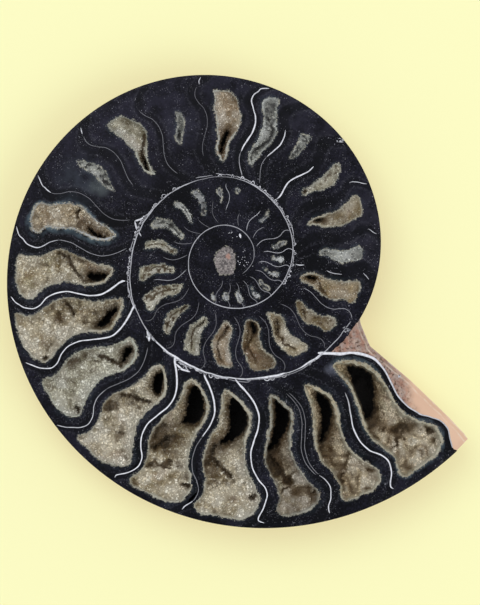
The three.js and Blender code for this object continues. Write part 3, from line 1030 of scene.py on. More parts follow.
@dataclass(frozen=True)
class SedimentFinish(Finish):
    """Pink sediment, smooth at the tip and rough and mottled towards the whorl."""

    name: str = "sediment"
    roughness: float = 0.65
    specular: float = 0.3
    pink: Colour = srgb(222, 184, 158)
    grey: Colour = srgb(156, 138, 131)
    pale_clouds: Mottle = Mottle(srgb(214, 175, 150), Pattern(120, 5, 0.35, 0.7))
    red_mottling: Mottle = Mottle(srgb(158, 118, 102), Pattern(640, 6, 0.34, 0.66))
    light_mottling: Mottle = Mottle(srgb(184, 160, 146), Pattern(760, 5, 0.5, 0.74))
    dark_flecks: Mottle = Mottle(srgb(92, 70, 56), Pattern(1350, 4, 0.5, 0.64, shift=9))
    chipped_edge: Mottle = Mottle(srgb(236, 220, 204), Pattern(700, 5, 0.25, 0.75, shift=7))

    def surface(self, bench: Bench, place: Socket) -> dict[str, object]:
        """The smooth tip, the mottled rough part and the chipped edge."""
        smooth = self.pale_clouds.over(bench, place, self.pink)
        mottled = self.red_mottling.over(bench, place, self.grey)
        mottled = self.light_mottling.over(bench, place, mottled)
        mottled = self.dark_flecks.over(bench, place, mottled, bench.marked("speckled"))
        base = bench.mix(bench.marked("rough"), smooth, mottled)
        return {"Base Color": self.chipped_edge.over(bench, place, base, bench.marked("worn"))}


@dataclass(frozen=True)
class CoreFinish(Finish):
    """Pinkish-grey rough patch over the first whorls, with a salmon spot."""

    name: str = "core"
    roughness: float = 0.6
    grey: Colour = srgb(132, 122, 121)
    dark_mottling: Mottle = Mottle(srgb(84, 76, 77), Pattern(900, 6, 0.35, 0.65))
    light_grains: Mottle = Mottle(srgb(166, 158, 155), Pattern(2600, 3, 0.5, 0.7))
    holes: Mottle = Mottle(srgb(34, 31, 34), Pattern(1700, 4, 0.5, 0.64, shift=5), 0.75)
    salmon: Colour = srgb(176, 128, 112)
    salmon_strength: float = 0.65

    def surface(self, bench: Bench, place: Socket) -> dict[str, object]:
        """Grey with its mottling, and the salmon spot over it."""
        base = self.grey
        for layer in (self.dark_mottling, self.light_grains, self.holes):
            base = layer.over(bench, place, base)
        spot = bench.times(bench.marked("salmon"), self.salmon_strength)
        return {"Base Color": bench.mix(spot, base, self.salmon)}


@dataclass(frozen=True)
class PaperFinish(Finish):
    """Plain pale cream floor, a sheet that glows with its own warm light, which lightens the shadows on it.
    """

    name: str = "paper"
    roughness: float = 0.9
    specular: float = 0.1
    cream: Colour = srgb(177, 201, 157)
    # The floor's own glow, from a part that is no lamp, which lightens and warms the shadows on it.
    glow: Colour = srgb(195, 166, 128)

    def surface(self, bench: Bench, place: Socket) -> dict[str, object]:
        """One even colour, and its own light."""
        return {"Base Color": self.cream, "Emission Color": self.glow, "Emission Strength": 1.0}


class Tone(Enum):
    """Tints of the crystal crusts: lit floor, warmer patches, rim."""

    SUGAR = ((247, 234, 207), (176, 157, 119), (163, 160, 148))
    TAN = ((229, 209, 172), (158, 132, 94), (160, 156, 139))
    SAGE = ((240, 236, 216), (172, 166, 142), (166, 170, 160))
    PEACH = ((228, 208, 182), (172, 148, 120), (166, 168, 164))
    MOSS = ((232, 227, 207), (144, 139, 118), (166, 168, 160))
    GREY = ((216, 217, 209), (122, 122, 114), (194, 196, 193))
    AMBER = ((214, 192, 154), (152, 125, 88), (150, 149, 140))
    UMBER = ((184, 168, 141), (120, 103, 78), (146, 146, 137))
    FROST = ((238, 222, 194), (180, 158, 128), (164, 170, 178))
    PALE = ((238, 239, 242), (136, 137, 140), (176, 178, 182))

    def finish(self) -> Material:
        """The material of this tint, made once."""
        name = f"druse_{self.name.lower()}"
        known = bpy.data.materials.get(name)
        if known:
            return known
        light, warm, rim = (srgb(*colour) for colour in self.value)
        # Painted highlight colour: the light tint lifted towards white.
        glow = srgb(*(round(value + 0.6 * (252 - value)) for value in self.value[0]))
        shared = {"light": light, "warm": warm, "rim": rim, "glow": glow}
        if self in (Tone.GREY, Tone.PALE):
            shared |= {"crystal_shade": srgb(66, 66, 68), "brown": srgb(48, 46, 48), "tinted": 0.3}
        return DruseFinish(name, **shared).make()


# Stone and sediment

# The last septum: shares across the whorl with turn angles
LAST_SEPTUM = (
    (0, 1038.5), (0.04, 1038.6), (0.09, 1040), (0.15, 1040.4), (0.225, 1040.6), (0.3, 1040.5),
    (0.56, 1040.5), (0.64, 1040.4), (0.7, 1039.8), (0.75, 1039.5), (0.84, 1039.8), (0.91, 1040.4),
    (0.97, 1041.4),
)


@dataclass
class StoneHalf:
    """The sawn half: flat face, chamfered edge and natural outside, with the chambers cut in it."""

    first_turn: float = -180.0
    end_turn: float = 1037.5
    step: float = 1.25
    shares: tuple[float, ...] = (
        0, 0.04, 0.085, 0.135, 0.185, 0.235, 0.285, 0.34, 0.395, 0.45, 0.505, 0.56, 0.615, 0.67,
        0.72, 0.77, 0.815, 0.855, 0.89, 0.92, 0.945, 0.965, 0.98, 0.99, 1.0,
    )
    last_septum: Pairs = (*LAST_SEPTUM, (1.0, 1042.8))
    end_reach: float = 14.0
    chamfer: float = 0.16
    core_reach: float = 1.02
    weld_distance: float = 2e-6
    smooth_below: float = 30.0

    def end_at(self, share: Array) -> Array:
        """Turn angle of the last septum at each share across the whorl."""
        turn = follow(self.last_septum, share) + follow(coil.sway, share)
        return np.where(share <= 0, self.end_turn, turn)

    def build(self, cutter: Workpiece, finish: Material) -> Workpiece:
        """Builds the stone.

        Args:
            cutter: The chambers' hollows as closed solids. It is used up.
            finish: The stone's material.

        Returns:
            The finished piece.
        """
        columns = round((self.end_turn - self.first_turn) / self.step)
        rows = len(self.shares) - 1
        piece = Workpiece.grid("ammonite_stone", columns, rows)
        column, row = piece.steps(columns, rows)
        share = np.array(self.shares)[row]
        turn = self.first_turn + column * self.step
        pull = np.clip((turn - self.end_turn) / self.end_reach + 1, 0, 1) ** 2
        turn = turn + pull * (self.end_at(share) - self.end_turn)
        places = coil.place(turn, share)
        outside = (row == rows) & (turn > self.end_turn - 360 - self.step / 2)
        in_last = turn > self.end_turn - 360
        fitted = np.where(in_last, coil.rim(turn) / coil.wall(turn), 1.0)
        places *= (1 + (fitted - 1) * ramp(share, 0.5, 1))[:, None]
        piece.move_to(in_frame(places, STONE_FACE + self.chamfer * outside))
        piece.lay_out(turn - follow(coil.sway, share), share)
        piece.weld(self.weld_distance)
        self.close_core(piece)
        self.form_outside(piece)
        piece.modify("BOOLEAN", object=cutter.body, operation="DIFFERENCE", solver="EXACT")
        bpy.data.objects.remove(cutter.body)
        piece.smooth(self.smooth_below)
        piece.dress(finish, "stone", ["shell_stone"])
        return piece

    def close_core(self, piece: Workpiece) -> None:
        """Fills the small opening that the spiral leaves at its centre."""
        with piece.edited():
            bpy.ops.mesh.select_all(action="DESELECT")
            mesh = bmesh.from_edit_mesh(piece.body.data)
            centre = in_frame(np.zeros((1, 2)), 0)[0]
            reach = float(coil.wall(self.first_turn)) * MM * self.core_reach
            for edge in mesh.edges:
                near = all(math.dist(v.co[:2], centre[:2]) < reach for v in edge.verts)
                edge.select_set(edge.is_boundary and near)
            bmesh.update_edit_mesh(piece.body.data)
            bpy.ops.mesh.edge_face_add()

    def form_outside(self, piece: Workpiece) -> None:
        """Draws the face down to the natural outside."""
        lower = piece.draw_down()
        points = piece.points()
        points[lower, 2] = FACE_TOP - back.depth(*on_face(points[lower]).T, ribbed=True) * MM
        piece.mark("outside", lower.astype(float))
        piece.move_to(kept_in_box(points))


@dataclass
class SedimentEnd:
    """Sediment left beyond the last septum, out to the broken end."""

    stone: StoneHalf
    inner_corner: float = 1055.6
    columns: int = 60
    rows: int = 150
    roughness: float = 0.5
    rough_ends: tuple[float, float] = (0.54, 0.72)
    pits: Relief = ((1.0, 1.1, 5), (0.6, 0.5, 6))
    bevel: float = 0.7
    bevel_width: float = 1.5
    underside_relief: float = 0.25
    underside_gap: float = 0.05
    least_depth: float = 0.5
    broken_edge: Pairs = (
        (36.9, -18.2), (39.5, -24.4), (50.7, -33.9), (57.7, -40.6), (61.7, -44.5), (67.1, -50.2),
    )
    tip_rounding: float = 0.05
    tip_from: float = 0.95
    smooth_below: float = 40.0

    def edge_at(self, share: Array) -> Array:
        """Places on the broken edge at each share across the whorl, straight between its corners."""
        corners = np.vstack((coil.place(self.inner_corner, 0.0), self.broken_edge))
        knots = np.append(0.0, coil.of_place(*np.array(self.broken_edge).T)[1])
        return np.column_stack([np.interp(share, knots, column) for column in corners.T])

    def build(self, finish: Material) -> Workpiece:
        """Builds the sediment."""
        piece = Workpiece.grid("sediment_end", self.columns, self.rows)
        u, share = piece.shares()
        start = coil.place(self.stone.end_at(share), share)
        across = self.edge_at(share) - start
        across *= (1 - self.tip_rounding * ramp(share, self.tip_from, 1.0))[:, None]
        places = start + u[:, None] * across
        x, y = places.T
        reach = np.hypot(*across.T)
        rough = 1 - ramp(share + 0.2 * u + 0.05 * lumps(x, y, 2.2, 8), *self.rough_ends)
        pits = np.clip(raised(places, self.pits), 0, None) * rough
        inner = np.minimum(np.minimum(u, 1 - u) * 12, 1)
        from_end = (1 - u) * reach + 0.2 * lumps(x, y, 2.4, 9)
        bevel = self.bevel * ramp(from_end, self.bevel_width, 0) * ramp(reach, 1, 3)
        piece.move_to(in_frame(places, STONE_FACE + self.roughness * pits * inner + bevel))
        piece.mark("rough", rough)
        piece.mark("speckled", 0.35 + 0.65 * (1 - ramp(u, 0.45, 0.9)))
        worn = 0.55 * ramp(from_end, 1.5, 1.2) * ramp(from_end, 0.9, 1.1) + 0.6 * ramp(from_end, 0.35, 0.1)
        piece.mark("worn", worn * ramp(reach, 1, 3))
        lower = piece.draw_down()
        points = piece.points()
        x, y = on_face(points[lower]).T
        drawn_in = self.underside_relief * (1 + lumps(x, y, 1.6, 7)) + self.underside_gap
        depth = np.maximum(back.depth(x, y) - drawn_in, self.least_depth)
        points[lower, 2] = FACE_TOP - depth * MM
        piece.move_to(kept_in_box(points))
        piece.smooth(self.smooth_below)
        piece.dress(finish, "sediment", ["matrix"])
        return piece


# Chambers and their crusts

FULL_DEPTH = 9.0
CUT_ABOVE_FACE = 1.0
CRUST_TO_STONE = 1.4
STONE_UNDER_CHAMBER = 1.2

# Unevenness of the chambers' edges
EDGE_RELIEF: Relief = ((0.15, 1.3, 40), (0.1, 0.6, 90), (0.05, 0.35, 140))


@dataclass(frozen=True)
class Chamber:
    """An open chamber.

    Rows are a share across the whorl with the turn angles of the crust's two edges. The pit is the
    outline of the deepest part, and clefts are narrow cracks, both as turn angles and shares. The
    shade of its hollows is how dark they are painted, as painted brown shade, from 0 to 1, and the rim
    is the width of its sawn edge. Lumpy is how far its floor rises into round lumps, and the crack runs
    along it at that place across.
    Milky is how strong the veil in the stone round it is, and dim is how much darker it is all over.
    """

    number: int
    tone: Tone
    depth: float
    rows: tuple[tuple[float, float, float], ...]
    pit: Pairs = ()
    clefts: tuple[Pairs, ...] = ()
    stain: float = 0.0
    rim: float = 0.2
    lumpy: float = 0.3
    crack: float | None = None
    milky: float = 0.12
    dim: float = 0.0

    @property
    def size(self) -> float:
        """How large the chamber counts as, from 0 to 1 for the deep ones."""
        return min(1.0, self.depth / FULL_DEPTH)

    def outline(self) -> Array:
        """The chamber's edge on the face, a little uneven."""
        rows = np.array(self.rows)
        corners = np.concatenate((rows[:, [1, 0]], rows[::-1, [2, 0]]))
        loop = softened(coil.swayed(corners[:, 0], corners[:, 1]), (0.5, 0.3))
        loop = evenly(loop, 0.3, closed=True)
        return loop + outward(loop) * raised(loop, EDGE_RELIEF, self.number)[:, None]

    def hollow(self) -> Workpiece:
        """The solid that cuts the chamber out of the stone."""
        loop = self.outline()
        middle = self.deepest()
        rings = [in_frame(ring, -CUT_ABOVE_FACE) for ring in (middle + 0 * loop, loop)]
        for scale in np.linspace(1, 0, 9):
            places = middle + (loop - middle) * scale
            room = back.depth(*places.T) - STONE_UNDER_CHAMBER
            rings.append(in_frame(places, np.minimum(self.depth + CRUST_TO_STONE, room)))
        return Workpiece.rolled(f"hollow_{self.number}", rings)

    def deepest(self) -> Array:
        """A place well inside the chamber, from which its whole edge is seen."""
        rows = np.array(self.rows)
        middle = rows[len(rows) // 2]
        turn, share = (middle[1] + middle[2]) / 2, middle[0]
        if self.pit:
            turn, share = (np.mean(self.pit, axis=0) + (turn, share)) / 2
        return coil.swayed(turn, share)[0]


@dataclass
class Crystal:
    """One small crystal that the crusts repeat."""

    corners: Array
    faces: list[tuple[int, ...]]

    @classmethod
    def modelled(cls, sides: int = 5, slenderness: float = 0.9, blunt: float = 0.18) -> "Crystal":
        """Models the crystal once.

        Args:
            sides: How many sides the point has.
            slenderness: Half its height over its radius.
            blunt: Radius of the end over the radius of the foot.

        Returns:
            The crystal, ready to be copied.
        """
        bpy.ops.object.select_all(action="DESELECT")
        bpy.ops.mesh.primitive_cone_add(
            vertices=sides, radius1=1, radius2=blunt, depth=2 * slenderness)
        body = bpy.context.active_object
        corners = np.array([v.co for v in body.data.vertices])
        faces = [tuple(face.vertices) for face in body.data.polygons]
        bpy.data.objects.remove(body)
        return cls(corners, faces)

    def scattered(self, rng: np.random.Generator, spots: Array, normals: Array, sizes: Array,
                  tilt: float = 0.4) -> tuple[Array, list[tuple[int, ...]]]:
        """Copies of the crystal.

        Args:
            rng: Seeded source of the turns and tilts.
            spots: Where each copy stands.
            normals: The way that each copy points, before its tilt.
            sizes: Radius of each copy.
            tilt: How far the copies lean away from their normals.

        Returns:
            The corners and faces of all copies.
        """
        count = len(spots)
        up = normals + rng.normal(0, tilt, (count, 3))
        up /= np.linalg.norm(up, axis=1)[:, None]
        side = np.cross(up, rng.normal(0, 1, (count, 3)))
        side /= np.linalg.norm(side, axis=1)[:, None]
        axes = np.stack((side, np.cross(up, side), up), axis=1)
        corners = np.einsum("vk,nkj->nvj", self.corners, axes) * sizes[:, None, None]
        points = (corners + spots[:, None, :]).reshape(-1, 3)
        each = len(self.corners)
        faces = [tuple(i + each * n for i in face) for n in range(count) for face in self.faces]
        return points, faces


@dataclass(frozen=True)
class Terrain:
    """What lies where on one crust, measured at each of its places.

    Into the pit and past the rim are distances inward from their edges. Hummocks are broad, creases
    are sharp and the grain is fine. The hollows' painted brown shade and the cleft are masks from 0 to 1.
    """

    across: Array
    share: Array
    into_pit: Array
    past_rim: Array
    hummocks: Array
    creases: tuple[Array, ...]
    grain: Array
    stain: Array
    cleft: Array


@dataclass
class Crust:
    """The crystal lining of one chamber."""

    chamber: Chamber
    crystal: Crystal
    grain: Crystal
    spacing: float = 0.22
    overlap: float = 0.15
    pit_rim_width: float = 0.4
    wall: float = 0.6
    stone_below_floor: float = 3.4
    stone_below_pit: float = 2.7
    crystals_per_mm2: float = 6.2
    grains_per_mm: float = 3.0
    smallest_crystal: float = 0.12
    grain_radii: tuple[float, float] = (0.04, 0.11)
    crystal_seed: int = 900
    grain_seed: int = 1900
    fewest_places: int = 12
    hummocks: Relief = ((0.6, 3.4, 1), (0.4, 1.5, 2))
    roughness: Relief = ((0.24, 0.7, 3), (0.12, 0.36, 4))
    crease_widths: Pairs = ((2.7, 7), (1.3, 8))
    bottom: Relief = ((0.45, 1.0, 12), (0.25, 0.5, 13))
    ragged: Relief = ((1.0, 0.75, 10), (0.5, 0.35, 11))
    crack_width: float = 0.08
    crack_starts: tuple[float, float] = (0.16, 0.26)
    crack_ends: tuple[float, float] = (0.66, 0.76)
    deepest_shelf: float = 4.2
    shelf_share: float = 0.42
    hummock_shade: float = 0.44
    furrow_shade: float = 0.62
    ragged_shade: float = 0.78
    pit_side_shade: float = 0.72
    hollow_shade_strength: float = 0.66
    cleft_shade: float = 0.74
    darkest_floor: float = 0.8
    loop: Array = field(init=False)

    def __post_init__(self) -> None:
        """Works out the chamber's edge once."""
        self.loop = self.chamber.outline()

    def noise(self, places: Array, width: float, number: int) -> Array:
        """Smooth noise from -1 to 1 that is this crust's own, with lumps of a width."""
        return self.relief(places, ((1.0, width, number),))

    def relief(self, places: Array, relief: Relief) -> Array:
        """Adds up noises that are this crust's own."""
        return raised(places, relief, 200 * self.chamber.number)

    def stain(self, across: Array, share: Array) -> Array:
        """How dark the crust is painted by its place in the chamber, as painted brown shade in its hollows.

        Args:
            across: From 0 at the edge towards the older chambers to 1 at the other edge.
            share: Share across the whorl.

        Returns:
            Values from 0 to 1: most beside the pit, along a slanting groove and in a small hollow.
        """
        beside = hill(across, 0.12, 0.45) * plateau(share, (0.34, 0.46), (0.56, 0.7))
        groove = hill(share, 0.76 - 0.15 * across, 0.02) * (1 - ramp(across, 0.6, 0.95))
        hollow = hill(across, 0.84, 0.07) * hill(share, 0.785, 0.02)
        return np.maximum(np.maximum(beside, groove), 1.3 * hollow)

    def into_pit(self, places: Array) -> Array:
        """How far each place lies inside the pit's edge. Without a pit, all lie far outside."""
        if not self.chamber.pit:
            return np.full(len(places), -99.0)
        corners = coil.swayed(*np.array(self.chamber.pit).T)
        inside, _ = to_loop(places, evenly(softened(corners, (1.0, 0.5)), 0.4, closed=True))
        return inside + (0.1 + 0.25 * self.chamber.size) * self.noise(places, 0.9, 5)

    def cleft(self, places: Array, across: Array, share: Array) -> Array:
        """The narrow cracks: the drawn ones, and the one that runs along a smaller chamber."""
        cleft = np.zeros(len(places))
        for line in self.chamber.clefts:
            near, _ = to_loop(places, coil.swayed(*np.array(line).T), closed=False)
            near = near + 0.25 * self.noise(places, 0.8, 6)
            cleft = np.maximum(cleft, ramp(near, -0.4 - 0.7 * self.chamber.size, -0.05))
        if self.chamber.crack is not None:
            middle = self.chamber.crack - 0.12 * self.noise(places, 1.4, 9)
            run = plateau(share, self.crack_starts, self.crack_ends)
            cleft = np.maximum(cleft, hill(across, middle, self.crack_width) * run)
        return cleft

    def terrain(self, places: Array, across: Array, share: Array) -> Terrain:
        """Measures what lies where on the crust.

        Args:
            places: Places on the face.
            across: Place from one edge of the chamber to the other, from 0 to 1.
            share: Share across the whorl.

        Returns:
            The measures at each place.
        """
        chamber, size = self.chamber, self.chamber.size
        inside, _ = to_loop(places, self.loop)
        into_pit = self.into_pit(places)
        rim = chamber.rim * ramp(size, 0.1, 0.8) * (0.7 + 0.6 * np.clip(across, 0, 1))
        rim = rim * (1 + 0.5 * self.noise(places, 0.9, 0))
        rim = rim + self.pit_rim_width * size * ramp(into_pit, -2.6, -0.5)
        shift = 0.02 * self.noise(places, 1.3, 8)
        return Terrain(
            across=across,
            share=share,
            into_pit=into_pit,
            past_rim=np.clip(inside - rim, 0, None),
            hummocks=self.relief(places, self.hummocks),
            creases=tuple(1 - 2 * np.abs(self.noise(places, *crease)) for crease in self.crease_widths),
            grain=self.relief(places, self.roughness) * (1.5 - chamber.lumpy),
            stain=chamber.stain * self.stain(across + 4 * shift, share + shift),
            cleft=self.cleft(places, across, share),
        )

    def depth(self, places: Array, ground: Terrain) -> Array:
        """Depth of the surface: a sloping floor with its waves, then the pit and the clefts."""
        chamber, size, past_rim = self.chamber, self.chamber.size, ground.past_rim
        shelf = min(self.deepest_shelf, self.shelf_share * chamber.depth)
        stone = back.depth(*places.T)
        room = np.maximum(stone - self.stone_below_floor, 0.3)
        floor = shelf * (1 - np.exp(-past_rim / (0.35 + 1.1 * size))) * (1 + 0.4 * ground.hummocks)
        floor = room * np.tanh(floor / room)
        broad, narrow = (ramp(crease, -1, 1.1) for crease in ground.creases)
        folds = chamber.lumpy * (0.95 * broad + 0.4 * narrow)
        waves = 0.6 * ground.hummocks + folds + ground.grain + 0.9 * ground.stain
        floor = floor + waves * size * ramp(past_rim, 0, 0.9) + 0.1 * ground.grain * ramp(past_rim, 0, 0.3)
        deep = np.maximum(ramp(ground.into_pit, -0.4, 0.8), 0.3 * ground.cleft)
        deep = (chamber.depth - shelf) * deep * ramp(past_rim, 0, 0.3)
        bottom = stone - self.stone_below_pit + self.relief(places, self.bottom)
        return np.maximum(np.minimum(CRUST_RIM + np.clip(floor, 0, None) + deep, bottom), CRUST_RIM)

    def masks(self, places: Array, ground: Terrain) -> dict[str, Array]:
        """What the finish reads: how sawn each place is, its painted shade with some dark mottling, and its
        painted highlight.
        """
        chamber, size, past_rim = self.chamber, self.chamber.size, ground.past_rim
        broad, narrow = ground.creases
        # Painted shade between the hummocks, in the furrows, beside the pit and in the hollows; dark mottling
        # on small crusts.
        furrow = self.furrow_shade * chamber.lumpy * ramp(np.maximum(broad, 0.6 * narrow), -0.2, 1.1)
        shade = size * (self.hummock_shade * ramp(ground.hummocks, 0.0, 0.7) + furrow)
        ragged = ramp(self.relief(places, self.ragged), 0.0, 0.7)
        shade = np.maximum(shade, self.ragged_shade * ramp(0.7 - size, 0, 0.6) * ragged)
        pit_side = self.pit_side_shade * np.exp(np.clip(ground.into_pit, None, 0) / (0.2 + 2.1 * size))
        shade = np.maximum(shade, pit_side * (0.5 + 0.5 * ramp(size, 0.2, 0.7)))
        # Painted brown shade of the hollows beside the pit, along a groove and in a small hollow.
        shade = np.clip(shade + self.hollow_shade_strength * ground.stain + chamber.dim, 0, self.darkest_floor)
        # Painted highlight towards the high-turn edge, on the hummocks' tops and on the lumps' tops.
        lit = 0.7 * ramp(ground.across, 0.55, 0.98) * ramp(ground.share, 0.25, 0.4)
        glow = 0.6 * ramp(-ground.hummocks, 0.0, 0.45) + lit
        top_highlight = chamber.lumpy * ramp(-broad, -0.3, 0.5)
        glow = np.clip(np.maximum(glow, top_highlight) - 2.0 * min(0.0, chamber.dim), 0, 1)
        glow = glow * (1 - 0.7 * chamber.stain * ramp(0.8 - ground.share, 0, 0.5)) * (1 - shade)
        # Painted black shade in the pit and painted shade in the clefts.
        in_pit = ramp(ground.into_pit, -0.2, 0.5)
        shade = np.maximum(np.maximum(shade, in_pit), self.cleft_shade * ground.cleft)
        shade = shade * ramp(past_rim, 0, 0.2 + chamber.rim * ramp(size, 0.1, 0.6))
        sawn = (1 - ramp(past_rim, 0, 0.1 + 1.3 * chamber.rim)) * ramp(size, 0.1, 0.6)
        return {"rim": sawn, "shade": shade, "glow": glow}

    def build(self) -> Workpiece:
        """Builds the crust with its crystals, undressed."""
        chamber = self.chamber
        rows = np.array(chamber.rows)[::-1]
        ends = coil.swayed(rows[[0, -1], 1:].mean(axis=1), rows[[0, -1], 0])
        length = math.dist(*ends) * 1.12
        middle = rows[len(rows) // 2]
        breadth = math.dist(*coil.swayed(middle[1:], middle[0])) * 1.15
        counts = [max(6, round(size / self.spacing)) for size in (breadth, length)]
        piece = Workpiece.grid(f"druse_{chamber.number}", *counts)
        u, v = piece.shares()
        margin, overrun = 0.5 / length, 0.6 / breadth
        across = u * (1 + 2 * overrun) - overrun
        share = rows[0, 0] + (rows[-1, 0] - rows[0, 0]) * (v * (1 + 2 * margin) - margin)
        left, right = (follow(rows[:, [0, side]], share) for side in (1, 2))
        places = coil.swayed(left + (right - left) * across, share)
        inside, nearest = to_loop(places, self.loop)
        beyond = inside < -self.overlap
        away = (places - nearest) / np.maximum(np.abs(inside), 1e-9)[:, None]
        places[beyond] = (nearest + away * self.overlap)[beyond]
        ground = self.terrain(places, across, share)
        masks = self.masks(places, ground)
        piece.move_to(in_frame(places, self.depth(places, ground)))
        for name, mask in masks.items():
            piece.mark(name, mask)
        parts = [piece, self.fringe()]
        crystals = self.crystals(piece, masks)
        piece.unfold(0.02 * MM)
        piece.thicken(self.wall * MM)
        return Workpiece.joined(piece.body.name, parts + ([crystals] if crystals else []))

    def crystals(self, piece: Workpiece, masks: dict[str, Array]) -> Workpiece | None:
        """Small crystals standing on the crust.

        Args:
            piece: The crust, as an open sheet.
            masks: The sheet's masks.

        Returns:
            All the crystals as one piece, or None where none fit.
        """
        rng = np.random.default_rng(self.crystal_seed + self.chamber.number)
        free = np.flatnonzero((masks["rim"] < 0.35) & (masks["shade"] < 0.9))
        if len(free) < self.fewest_places:
            return None
        count = int(len(free) * self.spacing**2 * self.crystals_per_mm2)
        chosen = rng.choice(free, count)
        normals = np.empty(len(piece.body.data.vertices) * 3)
        piece.body.data.vertices.foreach_get("normal", normals)
        normals = normals.reshape(-1, 3)[chosen]
        normals *= np.where(normals[:, 2:] < 0, -1, 1)
        spots = piece.points()[chosen]
        spots[:, :2] += rng.uniform(-0.5, 0.5, (count, 2)) * self.spacing * MM
        calm = max(0.0, self.chamber.lumpy - 0.4) / 0.5
        largest = 0.24 + 0.24 * self.chamber.size * (1 - 0.4 * calm)
        smallest = self.smallest_crystal
        sizes = smallest + (largest - smallest) * rng.uniform(0, 1, count) ** 1.5
        points, faces = self.crystal.scattered(rng, spots, normals, sizes * MM)
        points[:, 2] = np.minimum(points[:, 2], FACE_TOP - CRUST_RIM * MM)
        crystals = Workpiece.of_faces(f"crystals_{self.chamber.number}", points, faces)
        each = len(self.crystal.corners)
        # Spark and facet pick which crystals and faces get painted shade or painted glints.
        crystals.mark("spark", np.repeat(rng.uniform(0.14 + 0.3 * calm, 1 - 0.25 * calm, count), each))
        for name in ("shade", "glow"):
            crystals.mark(name, np.repeat(masks[name][chosen], each))
        crystals.mark("rim", np.zeros(count * each))
        crystals.mark("facet", rng.uniform(0.4 * calm, 1 - 0.14 * calm, len(faces)), "FACE")
        return crystals

    def fringe(self) -> Workpiece:
        """Sawn ends of small crystals, scattered in the stone along the crust's edge."""
        rng = np.random.default_rng(self.grain_seed + self.chamber.number)
        edge = float(np.hypot(*(np.roll(self.loop, 1, axis=0) - self.loop).T).sum())
        count = int(edge * self.grains_per_mm)
        chosen = rng.integers(len(self.loop), size=count)
        reach = rng.exponential(0.32, count) - 0.1
        places = self.loop[chosen] + outward(self.loop)[chosen] * reach[:, None]
        places = places + rng.normal(0, 0.12, places.shape)
        radii = rng.uniform(*self.grain_radii, count)
        upright = np.tile((0.0, 0.0, 1.0), (count, 1))
        centres = in_frame(places, GRAIN_TOP + radii * GRAIN_HALF_HEIGHT)
        points, faces = self.grain.scattered(rng, centres, upright, radii * MM, tilt=0)
        grains = Workpiece.of_faces(f"fringe_{self.chamber.number}", points, faces)
        each = len(self.grain.corners)
        grains.mark("spark", np.repeat(rng.uniform(0.14, 0.9, count), each))
        dim = np.clip(0.2 + 1.3 * reach + rng.uniform(-0.2, 0.2, count), 0, 0.92)
        grains.mark("shade", np.repeat(dim, each))
        grains.mark("rim", np.repeat(rng.uniform(0.1, 0.7, count) * (1 - dim), each))
        grains.mark("glow", np.zeros(count * each))
        grains.mark("facet", np.full(len(faces), 0.6), "FACE")
        return grains


@dataclass(frozen=True)
class Margins:
    """Stone round the crusts, milky and crumbly: thin sheets let into the face."""

    spacing: float = 0.3
    inward: float = 0.3
    crumbling: float = 0.6
    narrow: float = 0.7
    wide: float = 2.0
    older_side: float = 0.45
    thickness: float = 0.2
    least_milky: float = 0.3
    last_turn: float = 1039.2

    def sheet(self, loop: Array, milky: float, reach: float) -> Workpiece:
        """Makes the sheet round one outline.

        Args:
            loop: The outline on the face.
            milky: How strong the veil is, from 0 to 1.
            reach: How far the veil goes.

        Returns:
            The open sheet.
        """
        low, high = loop.min(axis=0) - reach, loop.max(axis=0) + reach
        columns, rows = np.ceil((high - low) / self.spacing).astype(int)
        piece = Workpiece.grid("margins", int(columns), int(rows))
        places = low + np.column_stack(piece.shares()) * (high - low)
        inside, _ = to_loop(places, loop)
        turn, share = coil.of_place(*places.T)
        straight = turn - follow(coil.sway, share)
        middle_turn = float(np.median(coil.of_place(*loop.T)[0]))
        younger = ramp(np.radians(turn - middle_turn) * np.hypot(*places.T), -3, 3)
        away = np.clip(-inside, 0, None) / (reach * (self.older_side + (1 - self.older_side) * younger))
        piece.move_to(in_frame(places, MARGIN_TOP))
        piece.lay_out(straight, share)
        piece.mark("milky", milky * np.clip(1 - away, 0, 1))
        seam = np.clip((inside + self.crumbling) / (self.crumbling + self.inward), 0, 1)
        piece.mark("seam", seam * (0.85 + 0.35 * lumps(*places.T, 2.6, 301)))
        outside = (share > 0.98) | (straight > self.last_turn)
        piece.cut_away((inside > self.inward) | (inside < -reach) | outside)
        return piece

    def build(self, finish: Material) -> Workpiece:
        """Builds the sheets of all chambers and of the core patch."""
        sheets = []
        for chamber in CHAMBERS:
            reach = self.narrow + (self.wide - self.narrow) * chamber.size
            milky = max(chamber.milky, self.least_milky * (1 - chamber.size))
            sheets.append(self.sheet(chamber.outline(), milky, reach))
        sheets.append(self.sheet(CorePatch().edge(), 0.0, self.narrow))
        piece = Workpiece.joined("margins", sheets)
        piece.thicken(self.thickness * MM)
        piece.dress(finish, "stone")
        return piece


FIRST_SMALL_PATCH = 32

